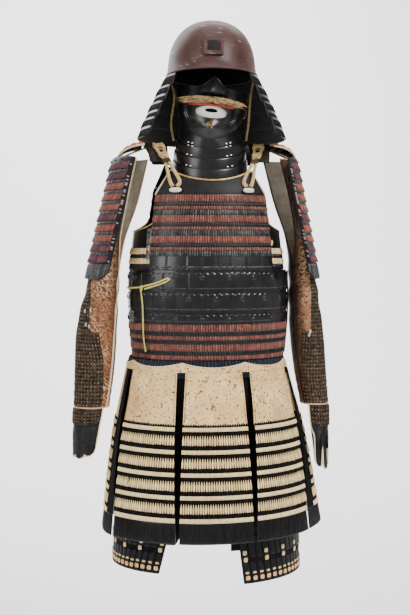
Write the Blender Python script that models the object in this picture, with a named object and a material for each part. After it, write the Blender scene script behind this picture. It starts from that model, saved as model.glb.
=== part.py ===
# A full lamellar armour in its worn, hollow form: helmet, face mask with throat guard, cuirass,
# shoulder guards, cloth and mail sleeves, hand guards, laced skirt panels and thigh guards.
# Metres, +Z up. The front faces -Y and the wearer's left is +X.
# The origin lies between the two shoulder straps, where the wearer's shoulders carry the suit.

import math
from collections import namedtuple

import bmesh
import bpy
from mathutils import Vector

# Wall thicknesses and clearances
SEAM = 0.0003
PLATE = 0.002
CLOTH = 0.0018
BAND_RISE = 0.003

# Heights of the cuirass, from the neck to the waist
CHEST_TOP = -0.0795
SCALES_TOP = -0.110
ARMHOLE_FLOOR = -0.190
SCALES_BOTTOM = -0.2485
LOWER_PLATE_BOTTOM = -0.280
BELLY_PITCH = 0.0467
WAIST_TOP = -0.4003
CUIRASS_BOTTOM = -0.481

# Heights of the skirt and the thigh guards
LEATHER_TOP = -0.497
LEATHER_SLIT = -0.507
LACING_TOP = -0.618
RIBBED_TOP = -0.827
SKIRT_BOTTOM = -0.872

# Angles round the body, in degrees from the front towards the wearer's left
FRONT_EDGE = 49.0
HINGE_EDGE = 88.0
BACK_TUCK = 45.0

# The helmet's rim, above the shoulders
HELMET_RIM = 0.166

# The head looks a little to the wearer's right, and the mask hangs a few degrees out of level
HEAD_PLACE = Vector((0.008, -0.030, 0.0))
HEAD_TURN = -5.0
MASK_ROLL = 6.0

# Where the mask's columns lie on each half, as shares of it, closer together round the nose
MASK_SIDES = (0.0, 0.07, 0.15, 0.23, 0.33, 0.46, 0.62, 0.80, 1.0)

# A ring of the body at one height: its half width, and how far it reaches to the front and back
Ring = namedtuple("Ring", "z half_width front back")

CUIRASS = (
    Ring(-0.030, 0.146, 0.088, 0.116),
    Ring(-0.060, 0.152, 0.100, 0.123),
    Ring(-0.110, 0.166, 0.117, 0.131),
    Ring(-0.190, 0.178, 0.128, 0.137),
    Ring(-0.300, 0.188, 0.138, 0.141),
    Ring(-0.400, 0.187, 0.136, 0.138),
    Ring(-0.481, 0.179, 0.130, 0.131),
)
SKIRT = (
    Ring(-0.478, 0.183, 0.138, 0.138),
    Ring(-0.520, 0.193, 0.146, 0.147),
    Ring(-0.618, 0.217, 0.166, 0.168),
    Ring(-0.740, 0.239, 0.184, 0.188),
    Ring(-0.872, 0.257, 0.196, 0.202),
)
THIGH = (
    Ring(-0.500, 0.1829, 0.1369, 0.137),
    Ring(-0.560, 0.192, 0.140, 0.142),
    Ring(-0.700, 0.208, 0.142, 0.146),
    Ring(-0.860, 0.216, 0.146, 0.150),
    Ring(-0.980, 0.219, 0.150, 0.152),
)
NECK_GUARD = (
    Ring(0.166, 0.1062, 0.1232, 0.1242),
    Ring(0.140, 0.1180, 0.133, 0.137),
    Ring(0.080, 0.1415, 0.152, 0.161),
    Ring(0.020, 0.1620, 0.168, 0.178),
)
THROAT = (
    Ring(0.020, 0.0745, 0.0780, 0.078),
    Ring(0.000, 0.0755, 0.0720, 0.072),
    Ring(-0.030, 0.0765, 0.0665, 0.067),
    Ring(-0.085, 0.0775, 0.0632, 0.064),
)

# Each gap between skirt panels: its angle at the top and the bottom, and half its width there
Gap = namedtuple("Gap", "top bottom half_top half_bottom")

GAPS = (
    Gap(22.5, 19.6, 3.0, 0.9),
    Gap(70.0, 60.5, 3.0, 1.2),
    Gap(119.0, 119.5, 2.4, 1.0),
    Gap(180.0, 180.0, 1.8, 0.8),
)

# A sleeve's section at one height: how far out its inner and outer sides lie, and its front and back
Sleeve = namedtuple("Sleeve", "z inner outer front back open_from open_to")

SLEEVE = (
    Sleeve(-0.0232, 0.136, 0.2045, -0.046, 0.048, 96, 196),
    Sleeve(-0.120, 0.160, 0.228, -0.054, 0.052, 100, 190),
    Sleeve(-0.200, 0.1865, 0.243, -0.052, 0.054, 118, 176),
    Sleeve(-0.255, 0.1950, 0.254, -0.050, 0.055, 140, 154),
    Sleeve(-0.300, 0.1965, 0.265, -0.049, 0.055, 147, 147),
    Sleeve(-0.420, 0.1985, 0.288, -0.053, 0.052, 147, 147),
    Sleeve(-0.515, 0.2060, 0.2925, -0.064, 0.032, 147, 147),
    Sleeve(-0.592, 0.2180, 0.2950, -0.074, 0.012, 147, 147),
)

# The arms hang unlike: the left one nearer to the body, and the right one further out
ARM_DRIFT = {1: (0.000, -0.012), -1: (0.010, 0.014)}

COLOURS = {
    "russet_lacquer": ((0.085, 0.035, 0.030), 0.45, 0.2),
    "black_lacquer": ((0.012, 0.012, 0.014), 0.25, 0.0),
    "red_lacing": ((0.260, 0.075, 0.055), 0.85, 0.0),
    "cream_lacing": ((0.720, 0.600, 0.400), 0.85, 0.0),
    "cream_leather": ((0.680, 0.540, 0.350), 0.75, 0.0),
    "tan_cord": ((0.640, 0.440, 0.210), 0.80, 0.0),
    "yellow_cord": ((0.560, 0.500, 0.200), 0.80, 0.0),
    "ivory": ((0.800, 0.760, 0.680), 0.40, 0.0),
    "blue_lacing": ((0.020, 0.045, 0.080), 0.85, 0.0),
    "sleeve_cloth": ((0.330, 0.170, 0.085), 0.80, 0.0),
    "red_cloth": ((0.560, 0.100, 0.060), 0.85, 0.0),
    "horse_hair": ((0.480, 0.340, 0.160), 0.80, 0.0),
}

for old in list(bpy.data.objects):
    bpy.data.objects.remove(old, do_unlink=True)

armour = bpy.data.collections.new("lamellar_armour")
bpy.context.scene.collection.children.link(armour)
made_materials = {}


def material(name):
    if name not in made_materials:
        colour, roughness, metallic = COLOURS[name]
        made = bpy.data.materials.new(name)
        made.use_nodes = True
        shader = made.node_tree.nodes["Principled BSDF"]
        shader.inputs["Base Color"].default_value = (*colour, 1.0)
        shader.inputs["Roughness"].default_value = roughness
        shader.inputs["Metallic"].default_value = metallic
        made.diffuse_color = (*colour, 1.0)
        made_materials[name] = made
    return made_materials[name]


def blend(low, high, share):
    return low + (high - low) * share


def spread(low, high, count):
    """count values, evenly from low to high."""
    return [blend(low, high, i / (count - 1)) for i in range(count)]


def along(table, z):
    """The table's row at height z, read from a smooth curve through its rows."""
    heights = [row.z for row in table]
    z = min(max(z, heights[-1]), heights[0])
    i = max(k for k in range(len(table) - 1) if heights[k] >= z)
    share = (heights[i] - z) / (heights[i] - heights[i + 1])
    values = []
    for column in range(1, len(table[0])):
        slopes = []
        for k in (i, i + 1):
            before, after = max(k - 1, 0), min(k + 1, len(table) - 1)
            rise = table[after][column] - table[before][column]
            slopes.append(rise / (heights[before] - heights[after]) * (heights[i] - heights[i + 1]))
        start, end = table[i][column], table[i + 1][column]
        values.append(
            (2 * share**3 - 3 * share**2 + 1) * start
            + (share**3 - 2 * share**2 + share) * slopes[0]
            + (3 * share**2 - 2 * share**3) * end
            + (share**3 - share**2) * slopes[1]
        )
    return type(table[0])(z, *values)


def ring_point(table, degrees, z, out=0.0):
    """A point on a ring of the table, moved outwards by out."""
    ring = along(table, z)
    angle = math.radians(degrees)
    depth = ring.front if math.cos(angle) > 0 else ring.back
    return Vector(((ring.half_width + out) * math.sin(angle), -(depth + out) * math.cos(angle), z))


def skirt_point(degrees, z, out=0.0):
    """A point of the skirt. Its sides and back hang a little towards the wearer's left."""
    point = ring_point(SKIRT, degrees, z, out)
    turn = min(max((90 - abs((degrees + 180) % 360 - 180)) / 30, 0.0), 1.0)
    share = min(max((LEATHER_SLIT - z) / (LEATHER_SLIT - SKIRT_BOTTOM), 0.0), 1.0)
    point.x += 0.014 * share * (1 - turn * turn * (3 - 2 * turn))
    return point


def add_object(name, mesh, finish, parent=None):
    made = bpy.data.objects.new(name, mesh)
    made.data.materials.append(material(finish))
    made.parent = parent
    armour.objects.link(made)
    return made


def lengths_along(points):
    """The share of the whole length at each point of a line."""
    run = [0.0]
    for first, second in zip(points, points[1:]):
        run.append(run[-1] + (second - first).length)
    return [length / run[-1] for length in run]


def wall(name, outer, inner, finish, closed=False, capped=False, parent=None):
    """A closed wall between an outer and an inner grid of points, which may have unlike numbers of
    rows. closed joins the last column to the first, and capped closes a dome over the first rows."""
    mesh = bpy.data.meshes.new(name)
    shape = bmesh.new()
    grids = [[[shape.verts.new(point) for point in row] for row in grid] for grid in (outer, inner)]
    columns = len(outer[0])
    steps = range(columns if closed else columns - 1)
    for grid in grids:
        for upper, lower in zip(grid, grid[1:]):
            for i in steps:
                k = (i + 1) % columns
                shape.faces.new((upper[i], upper[k], lower[k], lower[i]))
    for row in (-1,) if capped else (0, -1):
        for i in steps:
            k = (i + 1) % columns
            shape.faces.new((grids[0][row][i], grids[0][row][k], grids[1][row][k], grids[1][row][i]))
    if capped:
        for grid in grids:
            shape.faces.new(grid[0])
    if not closed:
        for column in (0, -1):
            sides = [[row[column] for row in grid] for grid in grids]
            shares = [lengths_along([vertex.co for vertex in side]) for side in sides]
            at = [0, 0]
            while at[0] < len(sides[0]) - 1 or at[1] < len(sides[1]) - 1:
                ahead = [shares[s][at[s] + 1] if at[s] + 1 < len(sides[s]) else 2.0 for s in (0, 1)]
                s = 0 if ahead[0] <= ahead[1] else 1
                corners = (sides[0][at[0]], sides[1][at[1]], sides[s][at[s] + 1])
                shape.faces.new(corners)
                at[s] += 1
    bmesh.ops.recalc_face_normals(shape, faces=shape.faces)
    if shape.calc_volume(signed=True) < 0:
        bmesh.ops.reverse_faces(shape, faces=shape.faces)
    shape.to_mesh(mesh)
    shape.free()
    mesh.shade_smooth()
    mesh.set_sharp_from_angle(angle=math.radians(40))
    return add_object(name, mesh, finish, parent)


def smooth_path(points, count):
    """count points on a smooth curve through the given ones."""
    points = [Vector(point) for point in points]
    ends = [2 * points[0] - points[1]] + points + [2 * points[-1] - points[-2]]
    found = []
    for t in spread(0.0, len(points) - 1.0001, count):
        i = int(t)
        share = t - i
        a, b, c, d = ends[i : i + 4]
        found.append(
            0.5
            * (
                2 * b
                + (c - a) * share
                + (2 * a - 5 * b + 4 * c - d) * share**2
                + (3 * b - a - 3 * c + d) * share**3
            )
        )
    return found


def tube(name, points, radius, finish, taper=None, parent=None, sides=2):
    """A round cord or bar along the points. taper gives the radius at each point as a share."""
    curve = bpy.data.curves.new(name, "CURVE")
    curve.dimensions = "3D"
    curve.bevel_depth = radius
    curve.bevel_resolution = sides
    curve.use_fill_caps = True
    line = curve.splines.new("POLY")
    line.points.add(len(points) - 1)
    for i, point in enumerate(points):
        line.points[i].co = (*point, 1.0)
        line.points[i].radius = taper[i] if taper else 1.0
    return add_object(name, curve, finish, parent)


def band_rows(top, bottom, starts_at=0.0, rise=BAND_RISE):
    """(height, rise) pairs for one raised band, which stands proudest at its lower edge."""
    return [(top, starts_at), (bottom, rise)]


def laced_rows(top, bottom, pattern):
    """Rows for bands of lacing between two heights. The pattern holds shares of the whole height,
    the band and the bare gap under it by turns."""
    whole = sum(pattern)
    rows, z = [], top
    for band, gap in zip(pattern[::2], pattern[1::2]):
        ends = z + (bottom - top) * band / whole
        rows += band_rows(z, ends)
        z = ends + (bottom - top) * gap / whole
    if pattern[-1] > 0:
        rows.append((bottom, 0.0))
    return rows


def ring_wall(name, table, rows, angles, finish, inner_rows=3, base=0.0, thick=PLATE, parent=None):
    """A wall on the table's rings. rows are (height, rise) pairs, and the inside is plain."""
    top, bottom = rows[0][0], rows[-1][0]
    outer = [[ring_point(table, a, z, base + rise) for a in angles] for z, rise in rows]
    inner = [
        [ring_point(table, a, z, base - thick) for a in angles] for z in spread(top, bottom, inner_rows)
    ]
    return wall(name, outer, inner, finish, parent=parent)


def build_helmet(head):
    """The bowl is a rounded egg shape with a low flared rim, longer to the front and back."""
    rim, height, half_width, long_share, shell = HELMET_RIM, 0.1277, 0.1020, 1.18, 0.0025
    columns = 24

    def bowl(degrees, share, inset):
        angle = math.radians(degrees)
        radius = (half_width - inset) * max(1 - share**2.5, 0.0) ** 0.435
        z = rim + (height - inset) * share if share > 0 else rim
        flare = (0.003 + 0.008 * max(math.cos(angle), 0.0) ** 2) * max(1 - share / 0.16, 0.0) ** 1.5
        x = (radius + min(flare, 0.004)) * math.sin(angle)
        return Vector((x, -(radius * long_share + flare) * math.cos(angle), z))

    angles = [360 * i / columns for i in range(columns)]
    shares = (0.995, 0.93, 0.78, 0.58, 0.36, 0.16, 0.0)
    outer = [[bowl(a, s, 0.0) for a in angles] for s in shares]
    inner = [[bowl(a, s, shell) for a in angles] for s in (0.99, 0.88, 0.62, 0.32, 0.0)]
    wall("helmet_bowl", outer, inner, "russet_lacquer", closed=True, capped=True, parent=head)

    # The crest socket is a U-shaped bracket on the brow, a plate with two upright prongs
    width, tall, thick, prong = 0.044, 0.036, 0.0045, 0.007
    outline = [
        (-width / 2, 0.0),
        (width / 2, 0.0),
        (width / 2, tall),
        (width / 2 - prong, tall),
        (width / 2 - prong, prong * 1.3),
        (-width / 2 + prong, prong * 1.3),
        (-width / 2 + prong, tall),
        (-width / 2, tall),
    ]
    flat = bpy.data.curves.new("helmet_crest_socket", "CURVE")
    flat.dimensions = "2D"
    flat.fill_mode = "BOTH"
    flat.extrude = thick / 2
    line = flat.splines.new("POLY")
    line.points.add(len(outline) - 1)
    for point, (x, y) in zip(line.points, outline):
        point.co = (x, y, 0.0, 1.0)
    line.use_cyclic_u = True
    socket = add_object("helmet_crest_socket", flat, "russet_lacquer", head)
    socket.location = (0.0, -0.1228, rim + 0.030)
    socket.rotation_euler = (math.radians(90 - 17), 0.0, 0.0)


def build_neck_guard(head):
    """Four wide lames hang from the helmet's rim. Each lower one laps outside the one above."""
    count, top, bottom, lap, thick = 4, 0.1656, 0.020, 0.007, 0.0018
    pitch = (top - bottom) / count
    for i in range(count):
        upper = top - pitch * i + (lap if i else 0.0)
        lower = top - pitch * (i + 1)
        middle = blend(upper, lower, 0.45)
        angles = spread(50 + 2 * i, 310 - 2 * i, 17)
        base = i * (thick + 0.0014)
        rows = [(upper, 0.0), (middle, 0.0008), (lower, 0.0)]
        ring_wall(
            f"neck_guard_lame_{i + 1}",
            NECK_GUARD,
            rows,
            angles,
            "black_lacquer",
            base=base,
            thick=thick,
            inner_rows=2,
            parent=head,
        )


def mask_point(side, z, out):
    """A point on the mask. side runs from -1 to 1 across it, and out moves the point outwards."""
    angle = math.radians(side * 84)
    height = min(max((z - 0.022) / 0.118, 0.0), 1.0)
    half_width = blend(0.060, 0.088, height**0.6) + out
    reach = blend(0.078, 0.094, math.sin(height**0.7 * math.pi / 2)) + out
    x = half_width * math.sin(angle)
    y = -reach * math.cos(angle)
    across = side / 0.30
    nose_height = min(max((z - 0.113) / 0.037, 0.0), 1.0)
    nose_width = blend(1.15, 0.42, nose_height)
    nose = blend(0.034, 0.010, nose_height) * math.exp(-((across / nose_width) ** 2) * 1.6)
    nose *= min(max((z - 0.1065) / 0.008, 0.0), 1.0)
    cheek = 0.007 * math.exp(-(((abs(side) - 0.50) / 0.17) ** 2) - ((z - 0.108) / 0.016) ** 2)
    lips = 0.006 * math.exp(-((side / 0.42) ** 2) - ((z - 0.088) / 0.012) ** 2)
    chin = 0.010 * math.exp(-((side / 0.24) ** 2) - ((z - 0.040) / 0.014) ** 2)
    return Vector((x, y - nose - lips - chin - cheek * 0.9, z))


def mask_top(side):
    """The height of the mask's upper edge, which peaks over the nose and at the ears."""
    bridge = 0.022 * math.exp(-((side / 0.13) ** 2))
    return 0.128 + bridge + 0.010 * max(abs(side) - 0.55, 0.0) ** 1.2 / 0.45


def mask_bottom(side):
    return 0.024 + 0.047 * side * side


def build_mask(head):
    """A half mask of plain rounded form, with a nose, a mouth that is cut through, and a chin."""
    mask = bpy.data.objects.new("mask", None)
    armour.objects.link(mask)
    mask.parent = head
    mask.rotation_euler = (0.0, math.radians(MASK_ROLL), 0.0)
    mask.location = (-math.sin(math.radians(MASK_ROLL)) * 0.095 - 0.002, 0.0, 0.0)
    sides = [-s for s in reversed(MASK_SIDES[1:])] + list(MASK_SIDES)

    def rows(count, out):
        return [
            [mask_point(s, blend(mask_top(s), mask_bottom(s), share), out) for s in sides]
            for share in spread(0.0, 1.0, count)
        ]

    shell = wall("mask_face", rows(14, 0.0), rows(9, -PLATE), "black_lacquer", parent=mask)

    def cut_opening(piece, size, place):
        bpy.ops.mesh.primitive_cylinder_add(vertices=16, radius=1.0, depth=0.06)
        slot = bpy.context.object
        slot.name = piece.name + "_cutter"
        slot.parent = mask
        slot.rotation_euler = (math.radians(90), 0.0, 0.0)
        slot.location = place
        slot.scale = (*size, 1.0)
        slot.hide_render = True
        slot.display_type = "WIRE"
        cut = piece.modifiers.new("opening", "BOOLEAN")
        cut.operation = "DIFFERENCE"
        cut.object = slot

    def teeth_rows(out):
        return [[mask_point(s, z, out) for s in spread(-0.35, 0.35, 7)] for z in (0.0875, 0.074, 0.058)]

    gap = -PLATE - 0.0026
    teeth = wall("mask_teeth", teeth_rows(gap), teeth_rows(gap - 0.0018), "ivory", parent=mask)
    cut_opening(shell, (0.037, 0.0130), (0.0, -0.095, 0.0735))
    cut_opening(teeth, (0.0145, 0.0045), (0.0, -0.095, 0.0775))

    # The moustache is one bar of hair under the nose, nearly straight and thinner at its ends
    line, taper = [], []
    for s in spread(-1.0, 1.0, 13):
        line.append(Vector((0.074 * s, -0.1080 + 0.030 * s * s, 0.0982 - 0.003 * s * s)))
        taper.append(blend(1.0, 0.55, abs(s) ** 3))
    tube("mask_moustache", line, 0.0078, "horse_hair", taper=taper, parent=mask)


def edge_point(z, degrees, out):
    """A point of the throat guard at height z in front, where its rows rise towards the ears."""
    point = ring_point(THROAT, degrees, z, out)
    rise = 0.060 * (1 - math.cos(math.radians(degrees) * 0.72))
    return point + Vector((-0.004, 0.0, rise))


def build_throat(head):
    """Four lames hang from the mask and lap outwards. The first one starts inside the mask's edge."""
    count, thick = 4, 0.0016
    roll = math.radians(MASK_ROLL)

    def jaw_point(side, above, out):
        point = mask_point(side, mask_bottom(side) + above, out)
        shift = -math.sin(roll) * 0.095 - 0.002
        x = point.x * math.cos(roll) + point.z * math.sin(roll) + shift
        return Vector((x, point.y, -point.x * math.sin(roll) + point.z * math.cos(roll)))

    angles = [96 * s for s in (*(-s for s in reversed(MASK_SIDES[1:-1])), *MASK_SIDES[:-1])]
    angles = [-84, *angles, 84]
    tuck = -PLATE - 0.0013
    for i in range(count):
        top = 0.0185 - 0.0245 * i
        bottom = top - (0.0270 if i == 0 else 0.0300)
        base = i * (thick + 0.0014)
        levels = ((top, 0.0), (blend(top, bottom, 0.5), 0.0010), (bottom, 0.0006))
        if i == 0:
            outer = [[jaw_point(a / 96, above, tuck) for a in angles] for above in (0.005, -0.004)]
            outer.append([edge_point(bottom, a, base + 0.0009) for a in angles])
            inner = [[jaw_point(a / 96, above, tuck - thick) for a in angles] for above in (0.005, -0.004)]
            inner.append([edge_point(bottom, a, base - thick) for a in angles])
        else:
            outer = [[edge_point(z, a, base + rise) for a in angles] for z, rise in levels]
            inner = [[edge_point(z, a, base - thick) for a in angles] for z in (top, bottom)]
        wall(f"throat_lame_{i + 1}", outer, inner, "black_lacquer", parent=head)


def build_head():
    head = bpy.data.objects.new("head", None)
    armour.objects.link(head)
    head.location = HEAD_PLACE
    head.rotation_euler = (0.0, 0.0, math.radians(HEAD_TURN))
    build_helmet(head)
    build_neck_guard(head)
    build_mask(head)
    build_throat(head)
    for side, name in ((1, "left"), (-1, "right")):
        route = [
            (side * 0.1000, 0.012, 0.1651),
            (side * 0.0884 + 0.0022, -0.0078, 0.123),
            (side * 0.0900 - 0.004, -0.002, 0.060),
            (side * 0.0838 - 0.004, -0.006, 0.018),
        ]
        tube(f"chin_cord_{name}", smooth_path(route, 10), 0.0028, "tan_cord", parent=head)


def neckline(degrees):
    """The height of the chest plate's upper edge, lowest at the throat."""
    return CHEST_TOP + 0.025 * (degrees / 38.0) ** 2


def build_front():
    """The chest, belly and waist of the front half. Its left end is hinged and its right end laps."""
    bare_rows, top_edge = 4, 38.0

    def chest_rows(count, out):
        rows = []
        for share in spread(0.0, 1.0, count):
            row = []
            for a in spread(-1.0, 1.0, 17):
                angle = a * blend(top_edge, FRONT_EDGE, share)
                z = blend(neckline(a * top_edge), SCALES_TOP + SEAM, share)
                row.append(ring_point(CUIRASS, angle, z, out))
            rows.append(row)
        return rows

    wall("chest_plate", chest_rows(bare_rows, 0.0), chest_rows(3, -PLATE), "black_lacquer")
    piping = [
        ring_point(CUIRASS, a, neckline(a) + 0.0022, -0.0010) for a in spread(-top_edge, top_edge, 21)
    ]
    tube("neckline_piping", piping, 0.0018, "tan_cord", sides=1)

    chest_pattern = (0.38, 0.18, 0.18, 0.26) * 3
    narrow = spread(-FRONT_EDGE, FRONT_EDGE, 15)
    rows = laced_rows(SCALES_TOP, SCALES_BOTTOM, chest_pattern)
    ring_wall("breast_scales", CUIRASS, rows, narrow, "red_lacing")
    top = SCALES_BOTTOM - SEAM
    rows = [(top, 0.0), (blend(top, LOWER_PLATE_BOTTOM, 0.6), 0.0008), (LOWER_PLATE_BOTTOM, 0.0022)]
    ring_wall("breast_lower_plate", CUIRASS, rows, narrow, "black_lacquer", inner_rows=2)

    wide = spread(-FRONT_EDGE, HINGE_EDGE, 19)
    for i in range(3):
        top = LOWER_PLATE_BOTTOM - SEAM - BELLY_PITCH * i
        bottom = top - BELLY_PITCH + SEAM if i < 2 else WAIST_TOP + SEAM
        rows = [(top, 0.0), (top - 0.008, 0.0018), (bottom + 0.006, 0.0024), (bottom, 0.0006)]
        ring_wall(f"belly_plate_{i + 1}", CUIRASS, rows, wide, "black_lacquer", inner_rows=2)
    waist_pattern = (0.28, 0.14, 0.16, 0.13, 0.27, 0.14, 0.18, 0.0)
    rows = laced_rows(WAIST_TOP, CUIRASS_BOTTOM, waist_pattern)
    ring_wall("waist_scales_front", CUIRASS, rows, wide, "red_lacing")


def build_back():
    """The back half tucks under the front at the wearer's right and meets the hinge at the left."""
    base = -0.0060
    narrow = spread(180 - 50, 180 + 50, 13)

    def top_rows(count, out):
        rows = []
        for share in spread(0.0, 1.0, count):
            row = []
            for a in spread(-1.0, 1.0, 15):
                angle = 180 + a * blend(42, 50, share)
                z = blend(-0.030 - 0.010 * (1 - a * a), -0.085 + SEAM, share)
                row.append(ring_point(CUIRASS, angle, z, out))
            rows.append(row)
        return rows

    wall("back_top_plate", top_rows(4, base), top_rows(3, base - PLATE), "black_lacquer")
    rows = laced_rows(-0.085, LOWER_PLATE_BOTTOM, (0.38, 0.18, 0.18, 0.26) * 4)
    ring_wall("back_scales", CUIRASS, rows, narrow, "red_lacing", base=base)

    round_back = spread(HINGE_EDGE + 0.4, 360 - BACK_TUCK, 25)
    rows = []
    for i in range(3):
        top = LOWER_PLATE_BOTTOM - SEAM - BELLY_PITCH * i
        bottom = top - BELLY_PITCH + 0.0008 if i < 2 else WAIST_TOP + SEAM
        rows += [(top, 0.0), (top - 0.008, 0.0018), (bottom, 0.0024)]
    ring_wall("back_plates", CUIRASS, rows, round_back, "black_lacquer", base=base)
    waist_pattern = (0.28, 0.14, 0.16, 0.13, 0.27, 0.14, 0.18, 0.0)
    rows = laced_rows(WAIST_TOP, CUIRASS_BOTTOM, waist_pattern)
    ring_wall("waist_scales_back", CUIRASS, rows, round_back, "red_lacing", base=base)

    # The plates under the arms are cut low for the armhole, and end in two cream laced bands
    for side, name in ((1, "left"), (-1, "right")):
        start = FRONT_EDGE + 0.3 if side > 0 else BACK_TUCK
        angles = [side * a for a in spread(start, 180 - 50.4, 13)]
        bands_top, bottom = -0.2300, LOWER_PLATE_BOTTOM
        bands = laced_rows(bands_top, bottom, (0.30, 0.16, 0.28, 0.26))
        middle = (start + 130) / 2

        def plate_rows(levels, out):
            rows = []
            for share, rise in levels:
                row = []
                for a in angles:
                    dip = max(1 - ((abs(a) - middle) / 42) ** 2, 0.0)
                    top = -0.158 - 0.034 * dip**0.5
                    row.append(ring_point(CUIRASS, a, blend(top, bands_top, share), out + rise))
                rows.append(row)
            return rows

        outer = plate_rows(((0.0, 0.0), (0.5, 0.0)), base)
        outer += [[ring_point(CUIRASS, a, z, base + rise) for a in angles] for z, rise in bands]
        inner = plate_rows(((0.0, 0.0),), base - PLATE)
        inner += [[ring_point(CUIRASS, a, z, base - PLATE) for a in angles] for z in (bands_top, bottom)]
        wall(f"underarm_plate_{name}", outer, inner, "black_lacquer")

    # The hinge is one tall pin, seated against both halves
    hinge = [ring_point(CUIRASS, HINGE_EDGE + 0.9, z, 0.0048) for z in (-0.283, -0.340, -0.397, -0.476)]
    tube("side_hinge", hinge, 0.0022, "black_lacquer", sides=1)


def build_straps():
    """Padded straps run over the shoulders from the back plate, with a small wing on each."""
    for side, name in ((1, "left"), (-1, "right")):
        spine = smooth_path(
            [
                (0.101, 0.0853, -0.0283),
                (0.111, 0.070, 0.001),
                (0.122, 0.030, 0.0125),
                (0.122, -0.015, 0.0115),
                (0.119, -0.047, -0.0045),
                (0.117, -0.068, -0.0330),
            ],
            12,
        )

        def strap_rows(raise_by):
            rows = []
            for i, point in enumerate(spine):
                ahead = spine[min(i + 1, len(spine) - 1)] - spine[max(i - 1, 0)]
                ahead.x = 0.0
                ahead.normalize()
                up = Vector((0.0, -ahead.z, ahead.y))
                up = up if up.z > 0 else -up
                half = blend(0.021, 0.026, math.sin(math.pi * i / (len(spine) - 1)))
                row = []
                for across in (-1.0, -0.5, 0.0, 0.5, 1.0):
                    crown = 0.0015 * (1 - across * across)
                    row.append(point + Vector((across * half, 0, 0)) + up * (raise_by + crown))
                rows.append([Vector((side * p.x, p.y, p.z)) for p in row])
            return rows

        wall(f"shoulder_strap_{name}", strap_rows(0.0), strap_rows(-0.005), "black_lacquer")

        def wing_rows(drop):
            rows = []
            for share in spread(0.0, 1.0, 7):
                x = blend(0.1490, 0.207, share)
                half = 0.058 * math.sqrt(max(1 - (share * 0.97) ** 2.6, 0.02))
                row = []
                for y in spread(-half, half, 9):
                    z = 0.0145 - 0.010 * share - 0.018 * share**3 - 1.6 * y * y * (1 - 0.3 * share)
                    row.append(Vector((side * x, y - 0.004, z - drop)))
                rows.append(row)
            return rows

        wall(f"shoulder_wing_{name}", wing_rows(0.0), wing_rows(0.0055), "red_cloth")

        # The front cord runs down from the strap, turns through the toggle and runs back up
        route = [
            (0.1270, -0.034, 0.0098),
            (0.1200, -0.058, -0.0075),
            (0.1045, -0.0800, -0.0340),
            (0.0945, -0.0903, -0.0780),
            (0.0875, -0.0990, -0.0918),
            (0.0795, -0.1032, -0.0918),
            (0.0735, -0.0997, -0.0780),
            (0.0965, -0.0840, -0.0340),
            (0.1040, -0.0600, -0.0080),
            (0.1090, -0.036, 0.0098),
        ]
        route = smooth_path([(side * x, y, z) for x, y, z in route], 22)
        tube(f"strap_cord_{name}", route, 0.0030, "tan_cord", sides=1)
        middle = Vector((side * 0.0832, -0.1054, -0.1002))
        turn_by = math.asin(0.0832 / 0.160) * side
        bead = [
            middle + Vector((math.cos(turn_by), math.sin(turn_by), 0.0)) * reach
            for reach in spread(-0.0150, 0.0150, 6)
        ]
        taper = (0.50, 0.90, 1.0, 1.0, 0.90, 0.50)
        tube(f"strap_toggle_{name}", bead, 0.0050, "ivory", taper=taper)


def build_shoulder_guards():
    """Each guard is a gently curved board of laced rows that faces outwards and a little forward."""
    radius, half_span, facing, lean = 0.230, 27.0, 10.0, 12.3
    top, bottom, length = -0.020, -0.302, 0.2885
    bands_from, bands_to = 0.055, 0.86
    bands = laced_rows(bands_from, bands_to, (0.60, 0.40) * 9 + (0.62, 0.0))
    for side, name in ((1, "left"), (-1, "right")):

        def board_point(share, degrees, out):
            turn = math.radians(facing + degrees)
            low = 0.2770 + ARM_DRIFT[side][1] * (0.6 if side > 0 else 0.2)
            centre = blend(0.2150, low, share) - radius * math.cos(math.radians(facing))
            swell = radius + out
            x = centre + swell * math.cos(turn)
            y = -swell * math.sin(turn) + radius * math.sin(math.radians(facing)) * 0.9
            return Vector((side * x, y, blend(top, bottom, share)))

        angles = spread(-half_span, half_span, 9)
        levels = [(0.0, 0.0), (0.030, 0.0016), (0.052, 0.0)] + [(z, rise * 0.9) for z, rise in bands]
        levels += [(bands_to + 0.006, 0.0), (1.0, 0.0012)]
        outer = [[board_point(z, a, rise) for a in angles] for z, rise in levels]
        inner = [[board_point(z, a, -0.0032) for a in angles] for z in spread(0.0, 1.0, 4)]
        wall(f"shoulder_guard_{name}", outer, inner, "red_lacing")
        hang = smooth_path([(0.1400, 0.012, 0.0054), (0.178, 0.014, -0.0096), (0.2130, 0.016, -0.0246)], 7)
        tube(
            f"guard_cord_{name}",
            [Vector((side * p.x, p.y, p.z)) for p in hang],
            0.0022,
            "tan_cord",
            sides=1,
        )


def arm_drift(side, z):
    """How far the inner and outer sides of an arm hang from the table, below the shoulder guard."""
    share = min(max((-0.14 - z) / 0.30, 0.0), 1.0)
    share = share * share * (3 - 2 * share)
    inner, outer = ARM_DRIFT[side]
    return inner * share, outer * share


def sleeve_point(side, row, degrees, inset):
    """A point of a sleeve's section. 0 degrees faces away from the body and 90 the front."""
    angle = math.radians(degrees)
    inner, outer = arm_drift(side, row.z)
    inner, outer = row.inner + inner, row.outer + outer
    middle_x, middle_y = (inner + outer) / 2, (row.front + row.back) / 2
    half_x, half_y = (outer - inner) / 2 - inset, (row.back - row.front) / 2 - inset
    return Vector((side * (middle_x + half_x * math.cos(angle)), middle_y - half_y * math.sin(angle), row.z))


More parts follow.
